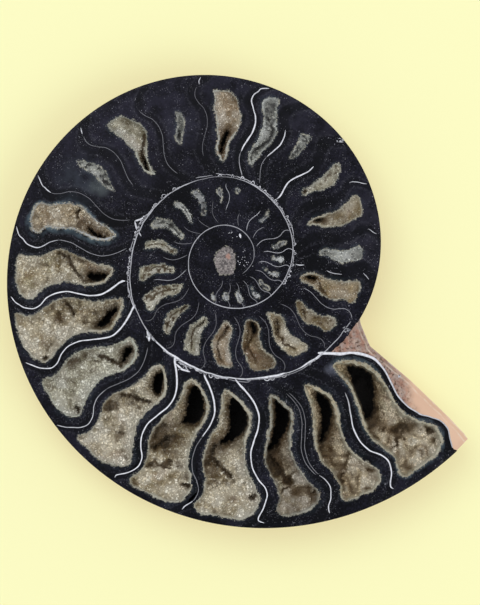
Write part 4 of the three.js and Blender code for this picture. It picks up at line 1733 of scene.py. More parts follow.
CHAMBERS = (
    Chamber(1, Tone.TAN, 10.5, rows=((0.94, 1029.2, 1037.4), (0.9, 1027.2, 1038.7), (0.8, 1026.8, 1038.4),
        (0.7, 1027.6, 1038.2), (0.6, 1028.2, 1038.8), (0.5, 1028.4, 1039), (0.4, 1028.4, 1039),
        (0.3, 1028.4, 1038.6), (0.2, 1028.6, 1038), (0.125, 1030, 1037), (0.07, 1032.2, 1034.8)),
        pit=((1029, 0.4), (1029.2, 0.49), (1031, 0.5), (1033.6, 0.475), (1034.6, 0.4), (1036.8, 0.32),
        (1037.2, 0.26), (1036.6, 0.2), (1034.6, 0.12), (1032.6, 0.15), (1030.8, 0.2)),
        clefts=(((1036.3, 0.8), (1036.9, 0.81)),), stain=0.9, rim=0.5, lumpy=0.9, milky=0.5, dim=-0.22),
    Chamber(2, Tone.TAN, 11, rows=((0.915, 1015, 1021.6), (0.875, 1013.2, 1022.6), (0.8, 1013.2, 1022.6),
        (0.7, 1014.2, 1022.2), (0.6, 1014.4, 1022.4), (0.5, 1014.2, 1022.4), (0.4, 1013.8, 1022.2),
        (0.3, 1013.8, 1022.4), (0.225, 1014.2, 1022), (0.15, 1015.4, 1021.2), (0.09, 1017.8, 1019.4)),
        pit=((1015.2, 0.5), (1018.2, 0.46), (1020.2, 0.39), (1021, 0.3), (1020.6, 0.225), (1019.2, 0.14),
        (1017.6, 0.175), (1016.8, 0.3), (1016.2, 0.39)), stain=0.8, rim=0.4, lumpy=0.7, dim=-0.12),
    Chamber(3, Tone.UMBER, 11.5, rows=((0.92, 1001.2, 1005.8), (0.875, 998.6, 1008), (0.8, 998.8, 1008.4),
        (0.7, 1000.2, 1008), (0.6, 1000.4, 1008.4), (0.5, 999.5, 1007.4), (0.4, 999.2, 1007),
        (0.3, 999.4, 1007.4), (0.225, 999.8, 1008.2), (0.175, 1000.4, 1007), (0.11, 1002.6, 1006.2),
        (0.085, 1004.2, 1005.4)), pit=((1000, 0.49), (1003, 0.45), (1005, 0.375), (1006.4, 0.3),
        (1006.9, 0.24), (1006, 0.14), (1005, 0.1), (1002.8, 0.16), (1001.4, 0.25), (1000.4, 0.375)),
        clefts=(((1001.3, 0.51), (1003.2, 0.6), (1003.4, 0.7)),), stain=1, rim=0.3, lumpy=0.7, dim=-0.12),
    Chamber(4, Tone.SUGAR, 11.5, rows=((0.945, 984, 993.4), (0.9, 980.6, 994.4), (0.8, 980.8, 994.6),
        (0.7, 982.4, 995), (0.6, 982.4, 994.8), (0.5, 982.2, 994.2), (0.4, 981.6, 993),
        (0.3, 981.8, 993.2), (0.2, 982, 993.4), (0.125, 983.4, 992.2), (0.075, 985, 991),
        (0.045, 986.8, 989.6)), pit=((985.2, 0.45), (990.2, 0.4), (992.4, 0.31), (992.4, 0.2),
        (991.6, 0.11), (990.2, 0.075), (987.2, 0.1), (985, 0.175), (985.2, 0.25), (986, 0.35)),
        clefts=(((992.6, 0.79), (993.4, 0.77)), ((984.2, 0.45), (984.4, 0.54), (989.7, 0.65))), stain=0.6,
        rim=0.3, dim=-0.08),
    Chamber(5, Tone.SUGAR, 11.5, rows=((0.94, 966.8, 976.6), (0.9, 964.4, 977.8), (0.8, 964.6, 978),
        (0.7, 965.8, 978.6), (0.65, 966.6, 978.6), (0.6, 966, 978.6), (0.5, 965.4, 978),
        (0.4, 965, 977.2), (0.3, 965.2, 977.4), (0.2, 965.8, 978), (0.125, 966.8, 977.6),
        (0.07, 968.8, 976.2), (0.04, 971.4, 974.4)), pit=((970.4, 0.375), (975.4, 0.35), (976.6, 0.275),
        (976.4, 0.175), (976, 0.11), (974, 0.06), (971.2, 0.09), (969.2, 0.14), (968.6, 0.19),
        (969.8, 0.275)), clefts=(((976.6, 0.785), (977.2, 0.77)), ((966.4, 0.64), (968.6, 0.6),
        (970.4, 0.52))), stain=1, rim=0.3, dim=-0.06),
    Chamber(6, Tone.SUGAR, 10.5, rows=((0.925, 949.6, 957.4), (0.89, 948, 958.8), (0.85, 948, 960.8),
        (0.8, 948.2, 961.6), (0.7, 949.4, 961.4), (0.6, 949, 961.5), (0.5, 948.8, 960.4),
        (0.4, 948.8, 959.8), (0.3, 949, 959.8), (0.25, 949.2, 960.2), (0.175, 949.8, 959.8),
        (0.125, 951.2, 958.6), (0.075, 954, 957.8)), pit=((952.8, 0.2), (954.4, 0.275), (959.2, 0.275),
        (958.4, 0.175), (957.2, 0.08), (954.8, 0.11), (953, 0.15)), clefts=(((957.4, 0.35),
        (954.8, 0.385), (952.5, 0.396), (950.3, 0.44)),), stain=0.5, dim=-0.18),
    Chamber(7, Tone.SAGE, 9.5, rows=((0.9, 932.4, 939.6), (0.875, 930.9, 941.4), (0.85, 930.6, 942.6),
        (0.8, 931, 943.6), (0.7, 931.4, 943.7), (0.6, 931.3, 943.7), (0.5, 931, 942.8),
        (0.4, 931.2, 942.2), (0.3, 931.8, 942.6), (0.2, 932.8, 942.8), (0.15, 933.8, 942.2),
        (0.105, 935.4, 940.7)), pit=((935.4, 0.2), (937.6, 0.26), (940.8, 0.3), (940, 0.15),
        (938.4, 0.13), (936.6, 0.16)), clefts=(((940.6, 0.3), (937.1, 0.336), (934.5, 0.4)), ((942, 0.77),
        (942.8, 0.78))), stain=0.45, dim=-0.12),
    Chamber(8, Tone.SUGAR, 10, rows=((0.945, 914.8, 921.4), (0.925, 913.9, 923.4), (0.875, 913.4, 925.2),
        (0.8, 913.2, 926.8), (0.7, 913.4, 926.8), (0.6, 913.3, 926.6), (0.5, 912.8, 925.8),
        (0.4, 912.7, 925.2), (0.3, 913, 925.8), (0.225, 913.5, 926.4), (0.15, 914.6, 925),
        (0.1, 916.2, 923.8), (0.055, 918.6, 921.4)), pit=((918.2, 0.2), (920.2, 0.25), (921.8, 0.325),
        (924.4, 0.34), (924.4, 0.25), (922.6, 0.175), (920.6, 0.1), (919, 0.14)), clefts=(((914.2, 0.53),
        (916.5, 0.49), (918.6, 0.475)), ((925.2, 0.795), (926, 0.785))), stain=0.35, dim=-0.08),
    Chamber(9, Tone.SUGAR, 9, rows=((0.925, 899.4, 905), (0.895, 897, 907.8), (0.85, 896.6, 908.6),
        (0.79, 895.8, 908.6), (0.75, 896.9, 908.2), (0.7, 897, 907.5), (0.6, 896.6, 908.1),
        (0.5, 896.6, 907.3), (0.4, 896.8, 907.2), (0.3, 896.9, 907.2), (0.25, 897.2, 906.1),
        (0.2, 897.6, 906.2), (0.15, 899, 905.4), (0.105, 901.2, 904.1)), pit=((901, 0.3), (903, 0.33),
        (905.2, 0.3), (905.4, 0.22), (904.6, 0.15), (903, 0.13), (901.6, 0.2)), clefts=(((897.9, 0.57),
        (898.8, 0.5), (901.4, 0.46), (903.4, 0.41), (905.4, 0.34)),), stain=0.3),
    Chamber(10, Tone.FROST, 8, rows=((0.885, 882.6, 887), (0.84, 880.4, 889.4), (0.79, 880.2, 889.6),
        (0.73, 880.3, 887.6), (0.68, 880.3, 889.2), (0.6, 880.1, 889.8), (0.5, 880.1, 888.6),
        (0.4, 880.4, 888.2), (0.3, 880.4, 887.7), (0.225, 880.5, 887), (0.185, 881.5, 886),
        (0.14, 883.6, 884.8)), pit=((884.6, 0.4), (886.6, 0.38), (887.2, 0.3), (886.6, 0.2),
        (885.4, 0.19), (884.6, 0.28)), clefts=(((881.8, 0.53), (884.2, 0.51)),), milky=1.0),
    Chamber(11, Tone.GREY, 1.6, rows=((0.78, 863.6, 864), (0.75, 864, 865), (0.7, 864.2, 866.4),
        (0.66, 864.3, 867.6), (0.6, 864.4, 867.9), (0.5, 864.2, 868.2), (0.44, 865.3, 868.4),
        (0.375, 865.6, 866.8), (0.33, 865.6, 866)), dim=0.08),
    Chamber(12, Tone.MOSS, 5, rows=((0.835, 844.6, 850), (0.8, 843.1, 849.7), (0.74, 842.4, 849.8),
        (0.66, 842.6, 850.8), (0.59, 843, 851.8), (0.54, 843.7, 850.8), (0.475, 844.8, 850.6),
        (0.375, 846, 850.4), (0.275, 846, 849.6), (0.235, 846, 848), (0.19, 846.2, 847)),
        pit=((847.2, 0.25), (847.2, 0.42), (848.4, 0.42), (848.8, 0.3), (848.2, 0.25)),
        clefts=(((844.4, 0.56), (846, 0.5), (847.8, 0.43)),)),
    Chamber(13, Tone.GREY, 3.5, rows=((0.67, 828.4, 829.2), (0.63, 827.5, 829.9), (0.575, 827.6, 830.9),
        (0.5, 828.6, 831.6), (0.41, 829, 832.2), (0.385, 829.3, 831.1), (0.35, 829.6, 830.2)),
        clefts=(((830.5, 0.48), (831.2, 0.43)),)),
    Chamber(14, Tone.PEACH, 6.5, rows=((0.85, 808, 813.4), (0.81, 804.5, 812.5), (0.76, 804.2, 812.2),
        (0.7, 804.6, 814.2), (0.64, 804.8, 815.4), (0.575, 804.8, 815), (0.5, 805.1, 814.6),
        (0.44, 805.5, 814.2), (0.375, 806, 812.6), (0.3, 806.2, 812.2), (0.225, 806.2, 812.2),
        (0.17, 807.4, 811), (0.14, 808.8, 810)), pit=((808.6, 0.22), (808.6, 0.47), (810.6, 0.47),
        (810.8, 0.3), (810.4, 0.22))),
    Chamber(15, Tone.GREY, 3.5, rows=((0.91, 792.2, 793.4), (0.89, 791, 794.6), (0.84, 789.4, 795.4),
        (0.775, 789, 794.9), (0.7, 789.8, 794.8), (0.625, 789.4, 795.6), (0.55, 789, 795.6),
        (0.44, 788.8, 795.1), (0.375, 789.2, 795), (0.31, 788.9, 794.8), (0.25, 790, 794.8),
        (0.19, 790.7, 793.8), (0.16, 791.6, 792.8)), clefts=(((793.4, 0.68), (791.2, 0.59),
        (790.5, 0.475), (791.9, 0.375), (793.3, 0.31), (793.2, 0.23)),), rim=0.5, dim=0.1),
    Chamber(16, Tone.GREY, 1.8, rows=((0.75, 772.8, 773.6), (0.71, 774.2, 778.6), (0.66, 775, 778.8),
        (0.6, 776.1, 779.4), (0.5, 776, 778.8), (0.455, 776.5, 778.6), (0.425, 776.8, 777.4))),
    Chamber(17, Tone.MOSS, 3.2, rows=((0.78, 756, 758.2), (0.74, 755.6, 759.6), (0.675, 755.4, 761),
        (0.6, 755.2, 761.6), (0.5, 755.4, 761.2), (0.44, 755.8, 760.5), (0.375, 755.9, 759),
        (0.31, 755.6, 759.4), (0.26, 755.9, 758.2)), clefts=(((757.4, 0.31), (757.9, 0.29)),)),
    Chamber(18, Tone.SUGAR, 4.5, rows=((0.825, 737.4, 743), (0.8, 735.1, 744.2), (0.75, 735.2, 744.4),
        (0.7, 736, 744.4), (0.6, 736.7, 744.6), (0.5, 736.3, 744), (0.44, 735.8, 743.4),
        (0.375, 735.2, 742.1), (0.3, 736.4, 741.5), (0.24, 737, 740.8), (0.2, 737.6, 740.2),
        (0.17, 738.4, 739.6)), pit=((738.3, 0.36), (741.3, 0.36), (741, 0.25), (738.8, 0.23)), dim=0.2),
    Chamber(19, Tone.GREY, 3, rows=((0.79, 719, 720.2), (0.77, 716.8, 722), (0.71, 717.1, 723.8),
        (0.665, 718.8, 724.6), (0.59, 718.3, 724.2), (0.54, 717.7, 724.1), (0.46, 718.4, 724),
        (0.375, 719, 722.9), (0.31, 717.9, 722.3), (0.275, 718.7, 720.8)), clefts=(((719.2, 0.34),
        (720.4, 0.335)),), rim=0.4, dim=-0.12),
    Chamber(20, Tone.AMBER, 5, rows=((0.845, 699, 705.6), (0.8, 696.7, 707.9), (0.71, 698.8, 708.2),
        (0.625, 699, 708.5), (0.55, 698.1, 708.7), (0.475, 697.9, 707.9), (0.385, 697.5, 706.7),
        (0.3, 697.6, 706), (0.2, 698.1, 705.6), (0.14, 699.2, 705), (0.1, 701.4, 703.6)),
        pit=((701.3, 0.3), (704.8, 0.3), (704.6, 0.16), (702, 0.16)), clefts=(((698.4, 0.5),
        (699.6, 0.41), (701.8, 0.36)),)),
    Chamber(21, Tone.SUGAR, 3.5, rows=((0.79, 681.4, 686.6), (0.74, 680, 688.3), (0.67, 682.5, 689.4),
        (0.58, 682.1, 688.6), (0.51, 680.1, 686.8), (0.43, 678.5, 686.6), (0.36, 678.3, 685),
        (0.28, 679.4, 685.2), (0.22, 681, 684.4)), clefts=(((681.2, 0.45), (682.2, 0.36)),), dim=0.28),
    Chamber(22, Tone.SUGAR, 4.2, rows=((0.785, 661.4, 667.6), (0.74, 659.4, 670.4), (0.67, 660.5, 671.2),
        (0.58, 660.3, 670.5), (0.5, 658.9, 668.9), (0.4, 657.8, 667.5), (0.31, 657.6, 668),
        (0.22, 658.6, 667.3), (0.15, 660.4, 665.8), (0.09, 662.2, 663.4)), pit=((660.8, 0.42),
        (661.8, 0.42), (664.6, 0.24), (663.4, 0.22)), crack=0.33),
    Chamber(23, Tone.AMBER, 4.5, rows=((0.825, 641.4, 649.4), (0.775, 637.8, 651.6), (0.7, 638.7, 652.8),
        (0.6, 639.8, 651.9), (0.5, 637.8, 650.3), (0.4, 636.4, 648.7), (0.33, 636.4, 648.6),
        (0.27, 636.6, 650.3), (0.17, 638.9, 649.8), (0.1, 642.2, 648)), pit=((643, 0.33), (648, 0.3),
        (648, 0.14), (645, 0.12)), clefts=(((639.5, 0.52), (641.5, 0.42), (643.4, 0.33)),), crack=0.3,
        dim=0.22),
    Chamber(24, Tone.PEACH, 4, rows=((0.775, 621, 628.6), (0.7, 620.4, 630.6), (0.6, 620.2, 630.7),
        (0.5, 617.9, 629.6), (0.4, 616.3, 628.2), (0.33, 616.4, 627.5), (0.25, 617.4, 628.4),
        (0.17, 619.8, 627.5), (0.125, 622, 625.4)), pit=((621.4, 0.38), (622.4, 0.36), (625.4, 0.2),
        (624.2, 0.18)), crack=0.4),
    Chamber(25, Tone.MOSS, 3.2, rows=((0.755, 601, 605.4), (0.73, 601.2, 610), (0.67, 602, 611.5),
        (0.58, 601.2, 611.2), (0.5, 599.7, 610), (0.4, 598.1, 606.5), (0.32, 598.8, 605.9),
        (0.24, 599.8, 607.4), (0.18, 601.1, 605.8)), pit=((601.4, 0.42), (602.1, 0.42), (604.3, 0.25),
        (603.4, 0.23)), crack=0.4, dim=-0.15),
    Chamber(26, Tone.MOSS, 2, rows=((0.75, 585, 589), (0.69, 583.7, 590.4), (0.6, 583, 589.9),
        (0.52, 580.6, 588.2), (0.42, 580.2, 586.7), (0.3, 580.4, 586.1), (0.2, 581.6, 585.5)), crack=0.45,
        dim=0.14),
    Chamber(27, Tone.MOSS, 2, rows=((0.785, 561, 568.6), (0.72, 561.6, 572), (0.62, 562.4, 571.5),
        (0.52, 560.5, 570.4), (0.43, 559.6, 569.2), (0.35, 559.2, 569), (0.26, 560.4, 569.5),
        (0.18, 561.5, 568.8), (0.1, 565.4, 566.6)), crack=0.45),
    Chamber(28, Tone.MOSS, 1.8, rows=((0.775, 543.6, 550.4), (0.73, 542.4, 553.3), (0.62, 544.6, 551.9),
        (0.5, 542.8, 550.3), (0.38, 541.5, 549.2), (0.28, 542.1, 549.2), (0.19, 544, 547.9)), crack=0.45),
    Chamber(29, Tone.MOSS, 1.8, rows=((0.75, 525.3, 530.4), (0.68, 526, 532.1), (0.59, 525.5, 531.8),
        (0.49, 523.8, 530.3), (0.38, 523.3, 530.1), (0.27, 524.3, 530.5), (0.18, 525.7, 529.2)),
        crack=0.45, dim=-0.15),
    Chamber(30, Tone.GREY, 1.6, rows=((0.79, 506.2, 512.6), (0.74, 507.2, 516), (0.65, 507.5, 514.6),
        (0.53, 506, 513), (0.42, 505.8, 512.4), (0.32, 506.5, 512.8), (0.18, 508.7, 511.9)), crack=0.45),
    Chamber(31, Tone.GREY, 1.5, rows=((0.75, 489.6, 492), (0.69, 489.4, 495.3), (0.61, 489.9, 494.1),
        (0.5, 489.2, 493.4), (0.37, 488.5, 493.3), (0.26, 489.8, 491.6)), crack=0.45, dim=-0.65),
    Chamber(32, Tone.PALE, 0.5, rows=((0.78, 470.7, 477.3), (0.66, 472, 477.7), (0.56, 472, 477),
        (0.44, 471.6, 476), (0.32, 471.9, 477.3), (0.25, 472.4, 475)), dim=0.32),
    Chamber(33, Tone.PALE, 0.5, rows=((0.78, 454.4, 455.2), (0.72, 455, 457.3), (0.62, 455.6, 460),
        (0.56, 456, 458), (0.46, 456.4, 457.5)), dim=0.42),
    Chamber(34, Tone.PALE, 0.5, rows=((0.78, 439, 442), (0.69, 440, 442.7)), dim=0.45),
    Chamber(35, Tone.PALE, 0.5, rows=((0.74, 408.6, 409.8), (0.68, 408.4, 410.7), (0.56, 407.4, 410),
        (0.48, 407, 409.6), (0.37, 408.4, 409.6)), dim=0.4),
    Chamber(36, Tone.PALE, 0.5, rows=((0.76, 373, 375.4), (0.66, 372.6, 378), (0.52, 371.6, 377.3),
        (0.42, 371.3, 376)), dim=0.34),
    Chamber(37, Tone.PALE, 0.5, rows=((0.73, 354.7, 359), (0.64, 355.4, 363), (0.54, 357.6, 361),
        (0.46, 357.6, 361.6), (0.41, 357, 361.8)), dim=-0.8),
    Chamber(38, Tone.PALE, 0.5, rows=((0.71, 337.4, 342.7), (0.6, 338.4, 343.7), (0.48, 338.8, 341.3),
        (0.34, 339, 341), (0.24, 339.8, 343)), dim=-0.3),
    Chamber(39, Tone.PALE, 0.5, rows=((0.72, 319, 322), (0.6, 320.4, 325), (0.5, 320, 323),
        (0.36, 321, 324.7)), dim=0.45),
    Chamber(40, Tone.PALE, 0.5, rows=((0.72, 302, 308), (0.62, 303, 309.4), (0.54, 303, 308),
        (0.42, 302.8, 306.4), (0.34, 303.6, 305.8)), dim=-0.2),
    Chamber(41, Tone.PALE, 0.5, rows=((0.7, 281, 286), (0.62, 281.6, 288.4), (0.54, 281.4, 289),
        (0.42, 279, 285), (0.34, 279.6, 283)), dim=-0.4),
    Chamber(42, Tone.PALE, 0.5, rows=((0.66, 261, 268), (0.58, 261, 269.6), (0.5, 260.4, 268),
        (0.44, 260, 266))),
    Chamber(43, Tone.PALE, 0.5, rows=((0.78, 244, 248), (0.68, 243, 249), (0.6, 244, 248)), dim=-0.95),
)


# Pale lines of the septa and walls


@dataclass
class LineWork:
    """Thin lines let into the face and gathered into one piece. The pen scales all widths."""

    name: str
    top: float
    thickness: float = 0.25
    spacing: float = 0.35
    taper: float = 0.8
    end_width: float = 0.35
    unevenness: float = 0.18
    edge_brightness: float = 0.72
    pen: float = 1.0
    parts: list[Workpiece] = field(default_factory=list)

    def draw(self, places: Array, widths: Sequence[float], bright: Sequence[float]) -> None:
        """Draws one line.

        Args:
            places: Places on the face along the line.
            widths: Widths along the line, spread evenly from its start to its end.
            bright: Brightness in the same way, from 0 for grey to 1 for white.
        """
        line = evenly(places, self.spacing, closed=False)
        count = len(line) - 1
        along = np.arange(count + 1) / count
        ahead = np.gradient(line, axis=0)
        side = np.column_stack((-ahead[:, 1], ahead[:, 0])) / np.hypot(*ahead.T)[:, None]
        from_end = np.minimum(along, 1 - along) * count * self.spacing
        thinning = self.end_width + (1 - self.end_width) * ramp(from_end, 0, self.taper)
        width = np.interp(along, np.linspace(0, 1, len(widths)), widths) * thinning * self.pen
        width = width * (1 + self.unevenness * lumps(*line.T, 1.2, 31))
        value = np.interp(along, np.linspace(0, 1, len(bright)), bright)
        part = Workpiece.grid(self.name, count, 2)
        column, row = part.steps(count, 2)
        offset = (row - 1) * 0.5 * width[column]
        part.move_to(in_frame(line[column] + side[column] * offset[:, None], self.top))
        part.mark("bright", value[column] * np.where(row == 1, 1.0, self.edge_brightness))
        self.parts.append(part)

    def finish(self, material: Material) -> Workpiece:
        """Joins the lines, gives them their thickness and dresses them."""
        piece = Workpiece.joined(self.name, self.parts)
        piece.thicken(self.thickness * MM)
        piece.dress(material, "stone")
        return piece


@dataclass(frozen=True)
class Septum:
    """A septum's line: shares across the whorl with turn angles, and widths and brightness."""

    path: Pairs
    widths: tuple[float, ...] = (0.5, 0.45)
    bright: tuple[float, ...] = (1.0, 1.0)
    points: int = 120

    def turn(self) -> float:
        """The septum's mean turn angle."""
        return float(np.mean([turn for _, turn in self.path]))

    def draw_on(self, work: LineWork) -> None:
        """Draws the line."""
        share = np.linspace(self.path[0][0], self.path[-1][0], self.points)
        work.draw(coil.swayed(follow(self.path, share), share), self.widths, self.bright)


SEPTA = (
    Septum(((-0.05, 1037), *LAST_SEPTUM), (1.2, 1.1, 0.6, 0.5, 0.5), (1, 1, 0.8, 0.7, 0.55)),
    Septum(((0.26, 1026.3), (0.31, 1026.1), (0.375, 1025.9), (0.44, 1025.8), (0.6, 1025.7),
        (0.675, 1025.6), (0.74, 1025.5), (0.8, 1025.2), (0.855, 1025), (0.9, 1025.2), (0.94, 1025.8),
        (0.96, 1026.8)), (0.35, 0.6, 0.6, 0.5), (0.5, 1, 1, 0.9)),
    Septum(((0.69, 1011.4), (0.745, 1011.2), (0.795, 1010.9), (0.845, 1010.7), (0.89, 1010.9),
        (0.925, 1011.6), (0.955, 1012.6)), (0.3, 0.45, 0.45), (0.6, 0.95, 0.9)),
    Septum(((0.1, 1010.2), (0.3, 1010.1), (0.5, 1010.3), (0.68, 1011)), (0.25, 0.25), (0.15, 0.3)),
    Septum(((0.1, 1011.2), (0.3, 1011.2), (0.5, 1011.3), (0.68, 1011.6)), (0.25, 0.25), (0.15, 0.3)),
    Septum(((-0.04, 996.2), (0, 996.4), (0.1, 996.4), (0.175, 996.1), (0.25, 995.8), (0.3, 995.6),
        (0.375, 995.4), (0.44, 995.5), (0.5, 995.9), (0.575, 996.4), (0.64, 996.9), (0.69, 997.1),
        (0.75, 996.6), (0.81, 995.7), (0.855, 995.5), (0.905, 996), (0.945, 997), (0.96, 998.8)),
        (0.8, 0.65, 0.6, 0.5, 0.45)),
    Septum(((-0.03, 980.5), (0, 980.5), (0.1, 980.2), (0.175, 979.9), (0.25, 979.7), (0.325, 979.5),
        (0.42, 979.4)), (0.75, 0.65, 0.4), (1, 1, 0.8)),
    Septum(((0.4, 979.4), (0.6, 979.6), (0.87, 979.4)), (0.28, 0.28), (0.25, 0.3)),
    Septum(((0.87, 979.4), (0.92, 979.6), (0.95, 980.2)), (0.4, 0.4), (0.9, 0.9)),
    Septum(((-0.05, 964.4), (0, 964.2), (0.075, 964), (0.15, 963.8), (0.225, 963.5), (0.29, 963.4),
        (0.36, 963.1), (0.425, 963.1), (0.49, 963.2), (0.55, 963.5), (0.625, 964), (0.69, 964.4),
        (0.72, 964.2), (0.77, 963.6), (0.825, 963), (0.87, 962.6), (0.93, 962.6), (0.955, 963.4)),
        (0.85, 0.6, 0.55, 0.5, 0.4)),
    Septum(((0.5, 946.3), (0.55, 946.4), (0.6, 946.5), (0.65, 946.8), (0.69, 947.2), (0.73, 947),
        (0.79, 946.5), (0.84, 946), (0.88, 945.6), (0.925, 945.8), (0.97, 945.6)), (0.3, 0.32),
        (0.4, 0.8, 0.8)),
    Septum(((0.05, 946.4), (0.3, 946.2), (0.5, 946.3)), (0.25, 0.25), (0.25, 0.3)),
    Septum(((-0.03, 929), (0, 928.9), (0.125, 928.6), (0.25, 928.4), (0.325, 928), (0.45, 928.2),
        (0.5, 928.3), (0.59, 928.5), (0.64, 928.8), (0.7, 929.2), (0.76, 928.8), (0.81, 928.1),
        (0.875, 927.6), (0.95, 927.8)), (0.85, 0.65, 0.45, 0.42, 0.4)),
    Septum(((0.01, 913), (0.03, 911.6), (0.075, 910.6), (0.125, 910.5), (0.25, 910.6), (0.375, 910.8),
        (0.5, 910.9), (0.59, 911.2), (0.675, 911.3), (0.725, 911.5), (0.775, 911.3), (0.84, 911),
        (0.89, 911.1), (0.925, 911.4), (0.96, 911)), (0.8, 0.6, 0.5, 0.45, 0.4)),
    Septum(((0.6, 893.6), (0.69, 893.9), (0.74, 893.9), (0.81, 893.4), (0.89, 893.3), (0.94, 893.9),
        (0.98, 893.3)), (0.25, 0.42, 0.42), (0.5, 0.95, 0.8)),
    Septum(((0.02, 894.5), (0.3, 893.6), (0.6, 893.6)), (0.25, 0.25), (0.3, 0.35)),
    Septum(((0.81, 876.6), (0.8625, 876.7), (0.906, 877.6), (0.95, 878), (0.98, 878.4)), (0.4, 0.42),
        (0.95, 0.7)),
    Septum(((0.08, 876.2), (0.4, 876), (0.81, 876.6)), (0.22, 0.22), (0.15, 0.2)),
    Septum(((0.25, 857.6), (0.65, 857.2), (0.88, 858)), (0.22, 0.22), (0.2, 0.2)),
    Septum(((0.905, 858.7), (0.955, 859.5)), (0.42, 0.42), (0.85, 0.85)),
    Septum(((0.1, 838.2), (0.4, 837.8), (0.8, 838.2)), (0.25, 0.25), (0.18, 0.15)),
    Septum(((0.905, 818.8), (0.94, 820), (0.975, 820.6)), (0.38, 0.38), (0.85, 0.7)),
    Septum(((0.2, 819), (0.6, 818.8), (0.88, 818.8)), (0.22, 0.22), (0.12, 0.12)),
    Septum(((0.27, 798.9), (0.375, 798.9), (0.5, 799), (0.675, 799), (0.7375, 798.6), (0.8125, 799),
        (0.9, 799.2), (0.94, 799.8), (0.97, 798.4)), (0.55, 0.6, 0.5, 0.45, 0.4), (1, 1, 1, 0.9, 0.8)),
    Septum(((0.03, 801), (0.056, 800.4), (0.11, 800), (0.27, 799)), (0.35, 0.25), (0.6, 0.25)),
    Septum(((0.3125, 785.6), (0.4, 785.3), (0.475, 785.3), (0.5625, 785.6), (0.65, 785.9)),
        (0.45, 0.5, 0.35), (0.85, 1, 0.8)),
    Septum(((0.03, 788), (0.1, 786.6), (0.31, 785.7)), (0.25, 0.25), (0.2, 0.3)),
    Septum(((0.01, 772.4), (0.044, 770.2), (0.08, 768.8), (0.125, 768), (0.175, 767.6), (0.25, 767.2),
        (0.35, 766.7), (0.44, 766.8), (0.5, 767.2), (0.545, 767.5)), (0.5, 0.6, 0.55, 0.4)),
    Septum(((0.925, 766.8), (0.965, 767.1)), (0.4, 0.45), (0.7, 0.8)),
    Septum(((0.78, 749.4), (0.8125, 749.2), (0.8625, 748.75), (0.9125, 749), (0.956, 749.6)), (0.3, 0.35),
        (0.7, 0.85)),
    Septum(((0.844, 729.7), (0.894, 729.6), (0.944, 730.2)), (0.3, 0.32), (0.65, 0.7)),
    Septum(((0.825, 711.25), (0.8625, 710.8), (0.9125, 711)), (0.3, 0.3), (0.7, 0.6)),
    Septum(((0.39, 710.8), (0.43, 711), (0.475, 711.5), (0.525, 712), (0.58, 712.3)), (0.35, 0.3),
        (0.6, 0.55)),
    Septum(((0.009, 716.7), (0.031, 715), (0.069, 713.3), (0.11, 712.3)), (0.35, 0.4), (0.8, 0.85)),
)

# Older septa, thin and grey: turn angle, from and to which share, brightness
OLD_SEPTA = (
    (693.8, 0.2, 0.92, 0.5), (676, 0.1, 0.9, 0.2), (655, 0.1, 0.9, 0.2), (634, 0.05, 0.9, 0.22),
    (614, 0.05, 0.9, 0.22), (594, 0.05, 0.9, 0.22), (575, 0.05, 0.9, 0.2), (555.5, 0.0, 0.55, 0.6),
    (536, 0.0, 0.4, 0.3), (518, 0.0, 0.3, 0.25), (500, 0.0, 0.3, 0.2), (483, 0.0, 0.25, 0.2),
    (465, 0.05, 0.5, 0.15), (449.5, 0.3, 0.84, 0.5), (433, 0.05, 0.3, 0.2), (417, 0.06, 0.58, 0.65),
    (400, 0.05, 0.4, 0.35), (384, 0.05, 0.9, 0.5), (367, 0.2, 0.95, 0.6), (351, 0.1, 0.9, 0.5),
    (334, 0.1, 0.9, 0.3), (317, 0.1, 0.9, 0.3), (300, 0.1, 0.9, 0.3), (284, 0.1, 0.9, 0.25),
    (268, 0.1, 0.9, 0.2), (250, 0.1, 0.9, 0.2),
)


@dataclass(frozen=True)
class OldSepta:
    """The thin septa of the earlier whorls."""

    width: float = 0.22
    points: int = 60
    later: float = 460.0
    later_dimming: float = 0.72

    def draw_on(self, work: LineWork) -> None:
        """Draws the lines."""
        for turn, start, end, bright in OLD_SEPTA:
            share = np.linspace(start, end, self.points)
            value = bright * (self.later_dimming if turn > self.later else 1.0)
            work.draw(coil.swayed(np.full(self.points, turn), share), (self.width,) * 2, (value,) * 2)


